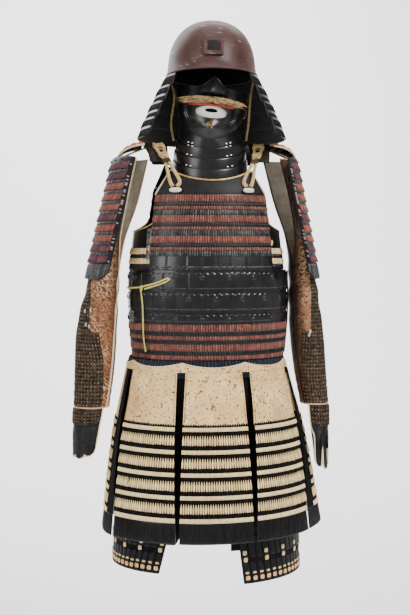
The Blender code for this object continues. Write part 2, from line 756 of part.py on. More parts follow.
def build_arms():
    """Sleeves open at the front of the armpit and laced shut below, with a lobed hand guard each."""
    for side, name in ((1, "left"), (-1, "right")):

        def sleeve_rows(heights, inset):
            rows = []
            for z in heights:
                row = along(SLEEVE, z)
                slit = 0.8
                first = min(row.open_from, 147 - slit) - 360
                last = max(row.open_to, 147 + slit) - 360
                rows.append([sleeve_point(side, row, a, inset) for a in spread(last, first + 360, 16)])
            return rows

        levels = spread(SLEEVE[0].z, SLEEVE[-1].z, 11)
        wall(
            f"sleeve_{name}",
            sleeve_rows(levels, 0.0),
            sleeve_rows(levels[::2], CLOTH),
            "sleeve_cloth",
        )

        tips, low_x, low_y = (-0.700, 0.2535, -0.078) if side > 0 else (-0.668, 0.268, -0.056)

        def guard_rows(count, inset):
            rows = []
            for share in spread(0.0, 1.0, count):
                row = []
                for a in spread(-62, 128, 17):
                    lobes = 0.5 - 0.5 * math.cos(math.radians((a + 62) / 190 * 360 * 4))
                    low = tips - 0.016 * lobes * share - 0.016 * math.cos(math.radians(a - 45))
                    z = blend(-0.5925, low, share)
                    shrink = 0.010 * share**1.5
                    drift = arm_drift(side, z)
                    out_by = (drift[0] + drift[1]) / 2
                    centre = Vector((blend(0.2565, low_x, share) + out_by, blend(-0.031, low_y, share)))
                    half_x = 0.0385 + (drift[1] - drift[0]) / 2 - shrink - inset
                    half_y = 0.0430 - shrink * 0.4 - inset
                    angle = math.radians(a)
                    x = centre.x + half_x * math.cos(angle)
                    row.append(Vector((side * x, centre.y - half_y * math.sin(angle), z)))
                rows.append(row)
            return rows

        wall(f"hand_guard_{name}", guard_rows(5, 0.0), guard_rows(3, PLATE), "black_lacquer")


def build_side_tie():
    """The cord that closes the wearer's right side: a bow with one loop, and one hanging end."""
    over, under, radius = 0.0050, -0.0010, 0.0019
    bow = [
        (-84, -0.3225, under),
        (-72, -0.3215, under),
        (-60, -0.3195, under),
        (-52.5, -0.3165, 0.0042),
        (-46, -0.3125, over),
        (-39, -0.3070, over),
        (-33, -0.2990, over),
        (-30.5, -0.3000, over),
        (-33, -0.3055, over),
        (-39, -0.3125, over),
        (-46, -0.3185, over),
        (-51.5, -0.3225, 0.0046),
    ]
    route = smooth_path([ring_point(CUIRASS, a, z, o) for a, z, o in bow], 28)
    tube("side_tie_bow", route, radius, "yellow_cord", sides=1)
    tail = [
        (-58.0, -0.3240, under),
        (-56.0, -0.350, under),
        (-55.5, -0.390, under),
        (-56.0, -0.430, under + 0.0004),
        (-55.0, -0.462, under + 0.0004),
    ]
    route = smooth_path([ring_point(CUIRASS, a, z, o) for a, z, o in tail], 12)
    tube("side_tie_tail", route, radius, "yellow_cord", sides=1)


def build_skirt():
    """A leather band at the waist, and seven panels of laced rows that hang from it."""
    front, side, rear, centre = GAPS
    all_round = [360 * i / 40 for i in range(40)]
    lacing_out = -CLOTH - 0.0010
    heights = (CUIRASS_BOTTOM - SEAM, -0.500, -0.520)
    outer = [[ring_point(SKIRT, a, z, lacing_out) for a in all_round] for z in heights]
    inner = [[ring_point(SKIRT, a, z, lacing_out - 0.0018) for a in all_round] for z in heights[::2]]
    wall("waist_lacing", outer, inner, "blue_lacing", closed=True)

    def leather_top(degrees):
        """The leather's upper edge, which peaks above each gap between panels."""
        turn = abs((degrees + 180) % 360 - 180)
        edges = (-front.top, front.top, side.top, rear.top, centre.top)
        k = max(i for i in range(4) if turn >= edges[i])
        share = 2 * (turn - edges[k]) / (edges[k + 1] - edges[k]) - 1
        return LEATHER_TOP + 0.010 * share * share

    def leather_rows(count, out):
        return [
            [
                ring_point(SKIRT, a, blend(leather_top(a), LEATHER_SLIT + SEAM, share), out)
                for a in all_round
            ]
            for share in spread(0.0, 1.0, count)
        ]

    wall("waist_leather", leather_rows(3, 0.0), leather_rows(2, -CLOTH), "cream_leather", closed=True)

    panels = (
        ("skirt_panel_front", None, front, 6),
        ("skirt_panel_front_{}", front, side, 6),
        ("skirt_panel_side_{}", side, rear, 6),
        ("skirt_panel_back_{}", rear, centre, 8),
    )
    pattern = (0.19, 0.19, 0.42, 0.20) * 4 + (0.21, 0.0)
    lames = laced_rows(LACING_TOP - 0.006, RIBBED_TOP, pattern)
    rows = [(LEATHER_SLIT, 0.0), (-0.565, 0.0), (LACING_TOP, 0.0006)] + lames
    rows += [(RIBBED_TOP - 0.0006, -0.0004), (SKIRT_BOTTOM, 0.0010)]

    def panel(name, start, end, columns, sign):
        def gap_side(gap, share, inward):
            return blend(gap.top, gap.bottom, share) + inward * blend(gap.half_top, gap.half_bottom, share)

        def row_angles(z):
            share = (LEATHER_SLIT - z) / (LEATHER_SLIT - SKIRT_BOTTOM)
            last = gap_side(end, share, -1)
            first = gap_side(start, share, 1) if start else -last
            return [sign * a for a in spread(first, last, columns)]

        outer = [[skirt_point(a, z, rise) for a in row_angles(z)] for z, rise in rows]
        inner_heights = (LEATHER_SLIT, -0.565, LACING_TOP, -0.720, SKIRT_BOTTOM)
        inner = [[skirt_point(a, z, -CLOTH) for a in row_angles(z)] for z in inner_heights]
        wall(name, outer, inner, "cream_lacing")

    for name, start, end, columns in panels:
        for sign, hand in ((1, "left"), (-1, "right")) if start else ((1, ""),):
            panel(name.format(hand), start, end, columns, sign)


def build_thigh_guards():
    """Cloth aprons inside the skirt, one for each thigh, with laced plates on their lower part."""
    top = -0.503
    for side, name, inner_edge, bottom in ((1, "left", 18.0, -0.976), (-1, "right", 34.0, -0.952)):
        plates = laced_rows(bottom + 0.164, bottom, (0.30, 0.06, 0.30, 0.06, 0.28, 0.0))
        rows = [(top, 0.0), (-0.560, 0.0), (-0.620, 0.0), (-0.700, 0.0)] + plates

        def row_angles(z):
            share = (top - z) / (top - bottom)
            return [side * a for a in spread(blend(2.0, inner_edge, share), blend(80.0, 97.0, share), 9)]

        outer = [[ring_point(THIGH, a, z, rise * 0.8) for a in row_angles(z)] for z, rise in rows]
        inner_heights = (top, -0.560, -0.700, -0.800, bottom)
        inner = [[ring_point(THIGH, a, z, -CLOTH) for a in row_angles(z)] for z in inner_heights]
        wall(f"thigh_guard_{name}", outer, inner, "black_lacquer")


build_head()
build_front()
build_back()
build_straps()
build_shoulder_guards()
build_arms()
build_side_tie()
build_skirt()
build_thigh_guards()
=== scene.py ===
import math
import random

import bpy
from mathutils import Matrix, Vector


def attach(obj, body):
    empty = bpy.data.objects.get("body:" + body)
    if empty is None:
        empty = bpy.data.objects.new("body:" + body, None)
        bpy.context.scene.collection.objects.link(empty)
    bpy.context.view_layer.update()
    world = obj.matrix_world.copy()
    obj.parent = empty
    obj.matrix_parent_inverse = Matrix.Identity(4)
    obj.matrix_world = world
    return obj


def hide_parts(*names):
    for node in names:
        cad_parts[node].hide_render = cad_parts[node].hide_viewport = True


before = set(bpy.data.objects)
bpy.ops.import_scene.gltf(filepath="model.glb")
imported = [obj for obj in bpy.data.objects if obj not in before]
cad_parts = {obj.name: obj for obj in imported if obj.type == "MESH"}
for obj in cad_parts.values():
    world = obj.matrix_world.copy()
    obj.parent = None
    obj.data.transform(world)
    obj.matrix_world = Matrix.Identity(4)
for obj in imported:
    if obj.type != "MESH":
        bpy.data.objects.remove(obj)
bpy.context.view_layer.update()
draw = random.Random(11)

# measures of the suit, in metres; angles run from the front towards the wearer's left

headPlace = Vector((0.008, -0.030, 0.0))
headTurn = math.radians(-5)
maskRoll = math.radians(6)
frontEdge = 49.0
neckEdge = 38.0
sideEdge = 129.6
hingeEdge = 88.0
backTuck = 45.0
backInset = -0.0060
hands = ((1, "Left"), (-1, "Right"))

# height: half width, reach to the front, reach to the back
cuirassRings = [
    (-0.030, 0.146, 0.088, 0.116), (-0.060, 0.152, 0.100, 0.123), (-0.110, 0.166, 0.117, 0.131),
    (-0.190, 0.178, 0.128, 0.137), (-0.300, 0.188, 0.138, 0.141), (-0.400, 0.187, 0.136, 0.138),
    (-0.481, 0.179, 0.130, 0.131),
]
skirtRings = [
    (-0.478, 0.183, 0.138, 0.138), (-0.520, 0.193, 0.146, 0.147), (-0.618, 0.217, 0.166, 0.168),
    (-0.740, 0.239, 0.184, 0.188), (-0.872, 0.257, 0.196, 0.202),
]
thighRings = [
    (-0.500, 0.1829, 0.1369, 0.137), (-0.560, 0.192, 0.140, 0.142), (-0.700, 0.208, 0.142, 0.146),
    (-0.860, 0.216, 0.146, 0.150), (-0.980, 0.219, 0.150, 0.152),
]
neckRings = [
    (0.166, 0.1062, 0.1232, 0.1242), (0.140, 0.1180, 0.133, 0.137), (0.080, 0.1415, 0.152, 0.161),
    (0.020, 0.1620, 0.168, 0.178),
]
throatRings = [
    (0.020, 0.0745, 0.0780, 0.078), (0.000, 0.0755, 0.0720, 0.072), (-0.030, 0.0765, 0.0665, 0.067),
    (-0.085, 0.0775, 0.0632, 0.064),
]
# height, inner side, outer side, front, back, where the slit starts and ends
sleeveRings = [
    (-0.0232, 0.136, 0.2045, -0.046, 0.048, 96, 196), (-0.120, 0.160, 0.228, -0.054, 0.052, 100, 190),
    (-0.200, 0.1865, 0.243, -0.052, 0.054, 118, 176), (-0.255, 0.1950, 0.254, -0.050, 0.055, 140, 154),
    (-0.300, 0.1965, 0.265, -0.049, 0.055, 147, 147), (-0.420, 0.1985, 0.288, -0.053, 0.052, 147, 147),
    (-0.515, 0.2060, 0.2925, -0.064, 0.032, 147, 147), (-0.592, 0.2180, 0.2950, -0.074, 0.012, 147, 147),
]
armDrift = {1: (0.000, -0.012), -1: (0.010, 0.014)}
# a gap between skirt panels: its angle at the top and at the foot, and half its width there
skirtGaps = [(22.5, 19.6, 3.0, 0.9), (70.0, 60.5, 3.0, 1.2), (119.0, 119.5, 2.4, 1.0), (180.0, 180.0, 1.8, 0.8)]


def mix(low, high, share):
    return low + (high - low) * share


def evenly(low, high, count):
    return [mix(low, high, i / (count - 1)) for i in range(count)]


def clamp(value, low=0.0, high=1.0):
    return min(max(value, low), high)


def smoothStep(share):
    share = clamp(share)
    return share * share * (3 - 2 * share)


readRings = {}


def ringAt(table, z):
    key = (id(table), round(z, 5))
    if key not in readRings:
        z = clamp(z, table[-1][0], table[0][0])
        i = max(k for k in range(len(table) - 1) if table[k][0] >= z)
        pitch = table[i][0] - table[i + 1][0]
        share = (table[i][0] - z) / pitch
        values = []
        for column in range(1, len(table[0])):
            slopes = []
            for k in (i, i + 1):
                before, after = max(k - 1, 0), min(k + 1, len(table) - 1)
                run = table[before][0] - table[after][0]
                slopes.append((table[after][column] - table[before][column]) / run * pitch)
            start, end = table[i][column], table[i + 1][column]
            values.append(
                (2 * share**3 - 3 * share**2 + 1) * start + (share**3 - 2 * share**2 + share) * slopes[0]
                + (3 * share**2 - 2 * share**3) * end + (share**3 - share**2) * slopes[1]
            )
        readRings[key] = values
    return readRings[key]


def ringPoint(table, degrees, z, out=0.0):
    halfWidth, front, back = ringAt(table, z)
    angle = math.radians(degrees)
    reach = front if math.cos(angle) > 0 else back
    return Vector(((halfWidth + out) * math.sin(angle), -(reach + out) * math.cos(angle), z))


def skirtPoint(degrees, z, out=0.0):
    point = ringPoint(skirtRings, degrees, z, out)
    turn = smoothStep((90 - abs((degrees + 180) % 360 - 180)) / 30)
    point.x += 0.014 * clamp((-0.507 - z) / 0.365) * (1 - turn)
    return point


def fromHead(point):
    x, y, z = point
    turned = (x * math.cos(headTurn) - y * math.sin(headTurn), x * math.sin(headTurn) + y * math.cos(headTurn), z)
    return headPlace + Vector(turned)


def rollMask(point):
    x, y, z = point
    shift = -math.sin(maskRoll) * 0.095 - 0.002
    across = x * math.cos(maskRoll) + z * math.sin(maskRoll) + shift
    return Vector((across, y, -x * math.sin(maskRoll) + z * math.cos(maskRoll)))


def fromMask(point):
    return fromHead(rollMask(point))


# how pieces are made, finished and joined


def deselectAll():
    if bpy.context.mode != "OBJECT":
        bpy.ops.object.mode_set(mode="OBJECT")
    bpy.ops.object.select_all(action="DESELECT")


def pick(piece):
    deselectAll()
    piece.select_set(True)
    bpy.context.view_layer.objects.active = piece
    return piece


def applyModifier(piece, kind, **settings):
    pick(piece)
    modifier = piece.modifiers.new(kind.title(), kind)
    for key, value in settings.items():
        setattr(modifier, key, value)
    bpy.ops.object.modifier_apply(modifier=modifier.name)


def smoothPiece(piece, degrees=40):
    pick(piece)
    bpy.ops.object.shade_smooth_by_angle(angle=math.radians(degrees))


def weldPiece(piece, distance=0.00002):
    pick(piece)
    bpy.ops.object.mode_set(mode="EDIT")
    bpy.ops.mesh.select_all(action="SELECT")
    bpy.ops.mesh.remove_doubles(threshold=distance)
    bpy.ops.mesh.normals_make_consistent(inside=False)
    bpy.ops.object.mode_set(mode="OBJECT")


def paint(piece, finish):
    piece.data.materials.clear()
    piece.data.materials.append(finishes[finish])


def makeSurface(name, columns, rows, place, finish, thick=0.0, weld=False, round=0.0, lining=None):
    # a sheet shaped by place(across, up), with its thickness inside; lining finishes the inner face
    deselectAll()
    bpy.ops.mesh.primitive_grid_add(x_subdivisions=columns, y_subdivisions=rows, size=1, location=(0.5, 0.5, 0))
    bpy.ops.object.transform_apply(location=True)
    piece = bpy.context.object
    piece.name = name
    for vertex in piece.data.vertices:
        vertex.co = place(vertex.co.x, vertex.co.y)
    if weld:
        weldPiece(piece)
    paint(piece, finish)
    if lining:
        piece.data.materials.append(finishes[lining])
    if thick:
        applyModifier(
            piece, "SOLIDIFY", thickness=thick, offset=-1, use_even_offset=False, material_offset=1 if lining else 0
        )
    if round:
        applyModifier(piece, "BEVEL", width=round, segments=2, limit_method="ANGLE", angle_limit=math.radians(60))
    smoothPiece(piece)
    return piece


def repeatPiece(piece, count):
    # the copies stand one unit apart; their maker bends the row into place
    applyModifier(
        piece, "ARRAY", count=count, use_relative_offset=False, use_constant_offset=True,
        constant_offset_displace=(1, 0, 0),
    )
    return len(piece.data.vertices) // count


def shadeStrands(piece, shades, finish):
    spread = piece.data.attributes.new("shade", "FLOAT", "POINT")
    spread.data.foreach_set("value", shades)
    pick(piece)
    bpy.ops.object.shade_smooth()
    paint(piece, finish)
    return piece


def makeStrands(name, count, place, finish, width=0.94, tilt=0.0, uneven=0.03, segments=6, rings=4, square=0.45):
    deselectAll()
    bpy.ops.mesh.primitive_uv_sphere_add(segments=segments, ring_count=rings, radius=1)
    piece = bpy.context.object
    piece.name = name
    for vertex in piece.data.vertices:
        a, b, c = vertex.co
        around = max(math.hypot(a, b), 1e-6) ** -square
        c = math.copysign(abs(c) ** (1 - square), c)
        vertex.co = (0.5 + 0.5 * width * a * around, b * around, 0.5 + 0.5 * c)
    own = repeatPiece(piece, count)
    shades = []
    for k in range(count):
        lean, lift, high = draw.uniform(-1, 1), draw.uniform(-1, 1), draw.uniform(-1, 1)
        shade = draw.random()
        for vertex in piece.data.vertices[k * own : (k + 1) * own]:
            x, y, z = vertex.co
            x += (tilt + lean * uneven * 2) * (z - 0.5)
            z += uneven * high * (z - 0.5)
            vertex.co = place(x / count, z, -y, lift * uneven)
        shades += [shade] * own
    return shadeStrands(piece, shades, finish)


def joinPieces(name, pieces):
    pieces = [piece for piece in pieces if piece]
    deselectAll()
    for piece in pieces:
        piece.select_set(True)
    bpy.context.view_layer.objects.active = pieces[0]
    if len(pieces) > 1:
        bpy.ops.object.join()
    pieces[0].name = name
    pieces[0].data.name = name
    return pieces[0]


def settle(piece, slotName, *nodes):
    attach(piece, "root")
    if nodes:
        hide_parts(*nodes)
    return piece


def smoothPath(points, count):
    points = [Vector(point) for point in points]
    ends = [2 * points[0] - points[1], *points, 2 * points[-1] - points[-2]]
    found = []
    for t in evenly(0.0, len(points) - 1.0001, count):
        i = int(t)
        s = t - i
        a, b, c, d = ends[i : i + 4]
        found.append(0.5 * (2 * b + (c - a) * s + (2 * a - 5 * b + 4 * c - d) * s**2 + (3 * b - a - 3 * c + d) * s**3))
    return found


def meshLines(name, lines, radius, sides, closed=False):
    # each line is its points and their widths, as shares of the radius
    curve = bpy.data.curves.new(name, "CURVE")
    curve.dimensions = "3D"
    curve.bevel_depth = radius
    curve.bevel_resolution = sides
    curve.use_fill_caps = not closed
    for points, widths in lines:
        spline = curve.splines.new("POLY")
        spline.points.add(len(points) - 1)
        spline.use_cyclic_u = closed
        for i, point in enumerate(points):
            spline.points[i].co = (*point, 1.0)
            spline.points[i].radius = widths[i]
    piece = bpy.data.objects.new(name, curve)
    bpy.context.scene.collection.objects.link(piece)
    pick(piece)
    bpy.ops.object.convert(target="MESH")
    return bpy.context.object


def makeTube(name, points, radius, finish, taper=None, sides=4, closed=False):
    piece = meshLines(name, [(points, taper or [1.0] * len(points))], radius, sides, closed)
    weldPiece(piece, 0.00001)
    smoothPiece(piece, 60)
    paint(piece, finish)
    return piece


def makeBead(name, place, size, finish, turn=(0, 0, 0), segments=12, rings=8, square=0.0):
    deselectAll()
    bpy.ops.mesh.primitive_uv_sphere_add(segments=segments, ring_count=rings, radius=1)
    piece = bpy.context.object
    piece.name = name
    if square:
        for vertex in piece.data.vertices:
            vertex.co = [math.copysign(abs(c) ** (1 - square), c) for c in vertex.co]
    piece.scale = size
    piece.rotation_euler = turn
    piece.location = place
    bpy.ops.object.transform_apply(location=True, rotation=True, scale=True)
    bpy.ops.object.shade_smooth()
    paint(piece, finish)
    return piece


def copyNode(name, node, finish, round=0.0):
    pick(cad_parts[node])
    bpy.ops.object.duplicate()
    piece = bpy.context.object
    for key in list(piece.keys()):
        del piece[key]
    piece.parent = None
    piece.name = name
    weldPiece(piece)
    if round:
        applyModifier(piece, "BEVEL", width=round, segments=2, limit_method="ANGLE", angle_limit=math.radians(35))
    smoothPiece(piece)
    paint(piece, finish)
    return piece


def alongLine(line, share):
    # the point at a share of the line's steps, and the number of its step
    k = share * (len(line) - 1)
    i = min(int(k), len(line) - 2)
    return line[i].lerp(line[i + 1], k - i), i


def hoop(middle, across, up, count=16):
    turns = [math.tau * k / count for k in range(count)]
    return [middle + across * math.cos(turn) + up * math.sin(turn) for turn in turns]


def arcLength(line):
    return sum((b - a).length for a, b in zip(line, line[1:]))


# finishes

finishes = {}


def feed(tree, socket, value):
    if isinstance(value, bpy.types.NodeSocket):
        tree.links.new(value, socket)
    else:
        socket.default_value = value


def addNode(tree, kind, inputs=None, **settings):
    node = tree.nodes.new("ShaderNode" + kind)
    for key, value in settings.items():
        setattr(node, key, value)
    for key, value in (inputs or {}).items():
        feed(tree, node.inputs[key], value)
    return node


def rampNode(tree, value, stops):
    node = addNode(tree, "ValToRGB", {"Fac": value})
    ramp = node.color_ramp
    while len(ramp.elements) < len(stops):
        ramp.elements.new(0.5)
    for element, (place, colour) in zip(ramp.elements, stops):
        element.position = place
        element.color = (*colour, 1.0)
    return node.outputs["Color"]


def mixColours(tree, share, first, second, blend="MIX"):
    node = addNode(tree, "Mix", data_type="RGBA", blend_type=blend)
    for key, value in ((0, share), (6, first), (7, second)):
        feed(tree, node.inputs[key], value)
    return node.outputs[2]


def noiseNode(tree, place, scale, detail=3.0, stretch=(1, 1, 1)):
    source = addNode(tree, "Mapping", {"Vector": place, "Scale": stretch}).outputs["Vector"]
    return addNode(tree, "TexNoise", {"Vector": source, "Scale": scale, "Detail": detail}).outputs["Fac"]


def makeFinish(
    name, low, high, rough, grain=60, bump=0.2, bumpScale=400, bumpStretch=(1, 1, 1), depth=0.0004, shade=0.0,
    metallic=0.0, coat=0.0, sheen=0.0, wear=None, wearScale=30, wearStretch=(1, 1, 1), wearFrom=0.62, specular=0.3,
):
    made = bpy.data.materials.new(name)
    made.use_nodes = True
    tree = made.node_tree
    shader = tree.nodes["Principled BSDF"]
    for key, value in (
        ("Metallic", metallic), ("Coat Weight", coat), ("Coat Roughness", 0.22), ("Specular IOR Level", specular),
        ("Sheen Weight", sheen),
    ):
        feed(tree, shader.inputs[key], value)
    place = addNode(tree, "TexCoord").outputs["Object"]
    cloud = noiseNode(tree, place, grain, 4.0)
    colour = rampNode(tree, cloud, ((0.32, low), (0.68, high)))
    if shade:
        strand = addNode(tree, "Attribute", attribute_name="shade").outputs["Fac"]
        dark = rampNode(tree, strand, ((0.0, (1 - shade,) * 3), (1.0, (1 + shade * 0.5,) * 3)))
        colour = mixColours(tree, 1.0, colour, dark, "MULTIPLY")
    if wear:
        patch = noiseNode(tree, place, wearScale, 5.0, wearStretch)
        mask = rampNode(tree, patch, ((wearFrom, (0, 0, 0)), (wearFrom + 0.06, (1, 1, 1))))
        colour = mixColours(tree, mask, colour, (*wear, 1.0))
    tree.links.new(colour, shader.inputs["Base Color"])
    gloss = addNode(tree, "MapRange", {"Value": cloud, "To Min": rough - 0.06, "To Max": rough + 0.06})
    tree.links.new(gloss.outputs["Result"], shader.inputs["Roughness"])
    fine = noiseNode(tree, place, bumpScale, 3.0, bumpStretch)
    relief = addNode(tree, "Bump", {"Height": fine, "Strength": bump, "Distance": depth})
    tree.links.new(relief.outputs["Normal"], shader.inputs["Normal"])
    finishes[name] = made


def recolour(finish, remake):
    # remake(tree, place, colour) gives the new base colour from the old one
    tree = finishes[finish].node_tree
    base = tree.nodes["Principled BSDF"].inputs["Base Color"]
    place = addNode(tree, "TexCoord").outputs["Object"]
    tree.links.new(remake(tree, place, base.links[0].from_socket), base)


fibre = {"bumpScale": 900, "bumpStretch": (1, 1, 0.12), "bump": 0.6, "depth": 0.0005, "sheen": 0.15}

makeFinish(
    "russetLacquer", (0.038, 0.014, 0.011), (0.082, 0.034, 0.027), 0.46, grain=22, specular=0.32, bump=0.35,
    bumpScale=120, depth=0.0006, wear=(0.26, 0.17, 0.13), wearScale=40, wearStretch=(1, 1, 6), wearFrom=0.64,
)
makeFinish(
    "blackLacquer", (0.003, 0.003, 0.0035), (0.009, 0.009, 0.010), 0.30, grain=30, coat=0.22, specular=0.4, bump=0.30,
    bumpScale=70, depth=0.0009, wear=(0.045, 0.04, 0.04), wearScale=46, wearStretch=(1, 1, 3), wearFrom=0.72,
)
makeFinish(
    "blackScale", (0.003, 0.003, 0.004), (0.020, 0.020, 0.022), 0.32, grain=160, coat=0.15, specular=0.4, bump=0.3,
    bumpScale=260, depth=0.0004, shade=0.5,
)
makeFinish("dullBlack", (0.003, 0.003, 0.003), (0.010, 0.009, 0.009), 0.52, grain=60, specular=0.25)
makeFinish(
    "blackCloth", (0.002, 0.002, 0.003), (0.007, 0.006, 0.007), 0.9, grain=90, bump=0.5, bumpScale=700, specular=0.1,
)
makeFinish(
    "blackSilk", (0.002, 0.002, 0.002), (0.009, 0.006, 0.005), 0.8, grain=150, shade=0.5, specular=0.12,
    **fibre | {"sheen": 0.03},
)
makeFinish("redLace", (0.14, 0.040, 0.026), (0.29, 0.100, 0.070), 0.85, grain=130, shade=0.38, **fibre)
makeFinish("maroonLace", (0.080, 0.020, 0.030), (0.165, 0.046, 0.060), 0.85, grain=130, shade=0.45, **fibre)
makeFinish("orangeLace", (0.20, 0.050, 0.030), (0.35, 0.110, 0.068), 0.85, grain=130, shade=0.40, **fibre)
makeFinish(
    "creamLace", (0.90, 0.60, 0.25), (1.0, 0.80, 0.41), 0.85, grain=90, shade=0.24, wear=(0.46, 0.23, 0.08),
    wearScale=55, wearStretch=(1, 1, 0.3), wearFrom=0.70, **fibre,
)
makeFinish("blueLace", (0.003, 0.006, 0.012), (0.012, 0.024, 0.038), 0.8, grain=110, shade=0.6, **fibre)
makeFinish("tanCord", (0.58, 0.37, 0.14), (0.86, 0.63, 0.32), 0.8, grain=140, bump=0.7, bumpScale=600, shade=0.25)
makeFinish("goldCord", (0.42, 0.24, 0.05), (0.80, 0.55, 0.20), 0.6, grain=200, bump=0.7, bumpScale=600, shade=0.4)
makeFinish("yellowCord", (0.50, 0.43, 0.10), (0.76, 0.68, 0.24), 0.8, grain=140, bump=0.7, bumpScale=600)
makeFinish("ivory", (0.78, 0.70, 0.54), (0.92, 0.87, 0.76), 0.35, grain=60, coat=0.3, bump=0.15, bumpScale=200)
makeFinish("redCloth", (0.36, 0.035, 0.018), (0.62, 0.085, 0.042), 0.85, grain=70, bump=0.7, bumpScale=500, sheen=0.2)
makeFinish("horseHair", (0.28, 0.17, 0.06), (0.66, 0.47, 0.22), 0.7, grain=120, shade=0.5, bump=0.4, bumpScale=800)
makeFinish("lipRed", (0.36, 0.026, 0.016), (0.50, 0.048, 0.030), 0.35, grain=60, coat=0.3, bump=0.15)
# near black, for dark inner faces, and as painted shade in the crest recess and the mouth
makeFinish("darkLiningAndShade", (0.003, 0.003, 0.003), (0.006, 0.005, 0.005), 0.7, grain=60, bump=0.1)
makeFinish(
    "steel", (0.16, 0.14, 0.13), (0.42, 0.39, 0.37), 0.38, grain=90, metallic=0.85, bump=0.4, bumpScale=300,
)
# dark iron whose tone varies ring by ring; its gold-brown upper tone is partly painted glint
makeFinish(
    "mailIron", (0.020, 0.015, 0.012), (0.15, 0.10, 0.065), 0.40, grain=150, metallic=0.55, bump=0.4, shade=0.7,
)
makeFinish("mailCloth", (0.014, 0.010, 0.009), (0.035, 0.024, 0.018), 0.9, grain=110, bump=0.5, bumpScale=600)
makeFinish("paleCloth", (0.40, 0.34, 0.26), (0.58, 0.51, 0.41), 0.9, grain=50, bump=0.5, bumpScale=500)
makeFinish("paleEdge", (0.62, 0.44, 0.26), (0.84, 0.66, 0.44), 0.75, grain=120, bump=0.6, bumpScale=500)
makeFinish("tanEdge", (0.50, 0.30, 0.11), (0.74, 0.50, 0.24), 0.75, grain=120, bump=0.6, bumpScale=500)


def brocadeColour(tree, place, silk):
    # gold scrolls on brown silk, with rubbed pale patches
    cell = addNode(tree, "TexVoronoi", {"Vector": place, "Scale": 80.0, "Randomness": 1.0}, feature="DISTANCE_TO_EDGE")
    curl = addNode(
        tree, "TexWave", {"Vector": place, "Scale": 30.0, "Distortion": 9.0, "Detail": 1.0, "Detail Scale": 3.0},
        wave_type="RINGS", rings_direction="SPHERICAL",
    ).outputs["Fac"]
    line = rampNode(tree, curl, ((0.72, (0, 0, 0)), (0.82, (1, 1, 1))))
    edge = rampNode(tree, cell.outputs["Distance"], ((0.02, (1, 1, 1)), (0.045, (0, 0, 0))))
    both = mixColours(tree, 1.0, line, edge, "LIGHTEN")
    gold = rampNode(tree, noiseNode(tree, place, 12, 3.0), ((0.40, (0.30, 0.14, 0.055)), (0.62, (0.58, 0.36, 0.18))))
    colour = mixColours(tree, both, silk, gold)
    worn = rampNode(tree, noiseNode(tree, place, 9, 4.0), ((0.58, (0, 0, 0)), (0.72, (0.6, 0.6, 0.6))))
    colour = mixColours(tree, worn, colour, (0.46, 0.21, 0.13, 1.0))
    # painted shade: darker on the inner side of the arm, where it faces the body
    across = addNode(tree, "SeparateXYZ", {"Vector": place}).outputs["X"]
    reach = addNode(tree, "Math", {"Value": across}, operation="ABSOLUTE").outputs["Value"]
    dark = rampNode(tree, reach, ((0.206, (0.16, 0.13, 0.12)), (0.228, (1, 1, 1))))
    return mixColours(tree, 1.0, colour, dark, "MULTIPLY")


def leatherColour(tree, place, hide):
    # age stains over the speckled hide
    stain = rampNode(tree, noiseNode(tree, place, 30, 6.0, (1, 1, 0.6)), ((0.48, (0, 0, 0)), (0.70, (0.7, 0.7, 0.7))))
    return mixColours(tree, stain, hide, (0.62, 0.40, 0.20, 1.0))


def checkColour(tree, place, silk):
    # about one strand in three is pale
    shade = addNode(tree, "Attribute", attribute_name="shade").outputs["Fac"]
    pale = rampNode(tree, shade, ((0.66, (0, 0, 0)), (0.70, (1, 1, 1))))
    return mixColours(tree, pale, silk, (0.34, 0.29, 0.27, 1.0))


makeFinish("brocade", (0.075, 0.024, 0.012), (0.19, 0.066, 0.030), 0.62, grain=26, bump=0.4, sheen=0.08)
recolour("brocade", brocadeColour)
makeFinish(
    "creamLeather", (0.80, 0.47, 0.17), (1.0, 0.71, 0.34), 0.62, grain=18, bump=0.7, bumpScale=36, depth=0.0030,
    wear=(0.17, 0.08, 0.03), wearScale=210, wearFrom=0.565,
)
recolour("creamLeather", leatherColour)
print("finishes ready:", len(finishes))


# lacing: rows of braided strands over plain boards, with the scale heads between them


def addRow(
    parts, surface, edges, top, bottom, pitch, finish, rise=(0.0006, 0.0022), swell=0.0012, point=0.0, **shape
):
    # point narrows the upper ends, so the dark board shows between them as teeth
    low, high = edges(bottom), edges(top)
    line = [surface(a, mix(top, bottom, 0.5), 0.0) for a in evenly(*edges(mix(top, bottom, 0.5)), 24)]
    count = max(3, round(arcLength(line) / pitch))

    def place(u, t, w, lift):
        t = clamp(t, -0.2, 1.2)
        if point:
            k = math.floor(clamp(u, 0, 0.9999) * count)
            u = (k + 0.5 + (u * count - k - 0.5) * (1 - point * smoothStep((t - 0.55) / 0.45))) / count
        start, end = mix(low[0], high[0], t), mix(low[1], high[1], t)
        out = mix(rise[1], rise[0], t) + w * swell + lift * 0.004
        return surface(mix(start, end, u), mix(bottom, top, t), out)

    parts.append(makeStrands("row", count, place, finish, **shape))


def bandsOf(top, bottom, pattern):
    # (top, bottom) of each laced band; the pattern gives the shares of a band and the bare gap under it by turns
    whole, z, found = sum(pattern), top, []
    for band, gap in zip(pattern[::2], pattern[1::2]):
        end = z + (bottom - top) * band / whole
        found.append((z, end))
        z = end + (bottom - top) * gap / whole
    return found


def always(start, end):
    return lambda z: (start, end)


# the helmet: bowl, lip, crest socket and neck guard

bowl = {"rim": 0.166, "height": 0.1277, "halfWidth": 0.1020, "long": 1.18, "wall": 0.0025, "rings": 26, "around": 72}


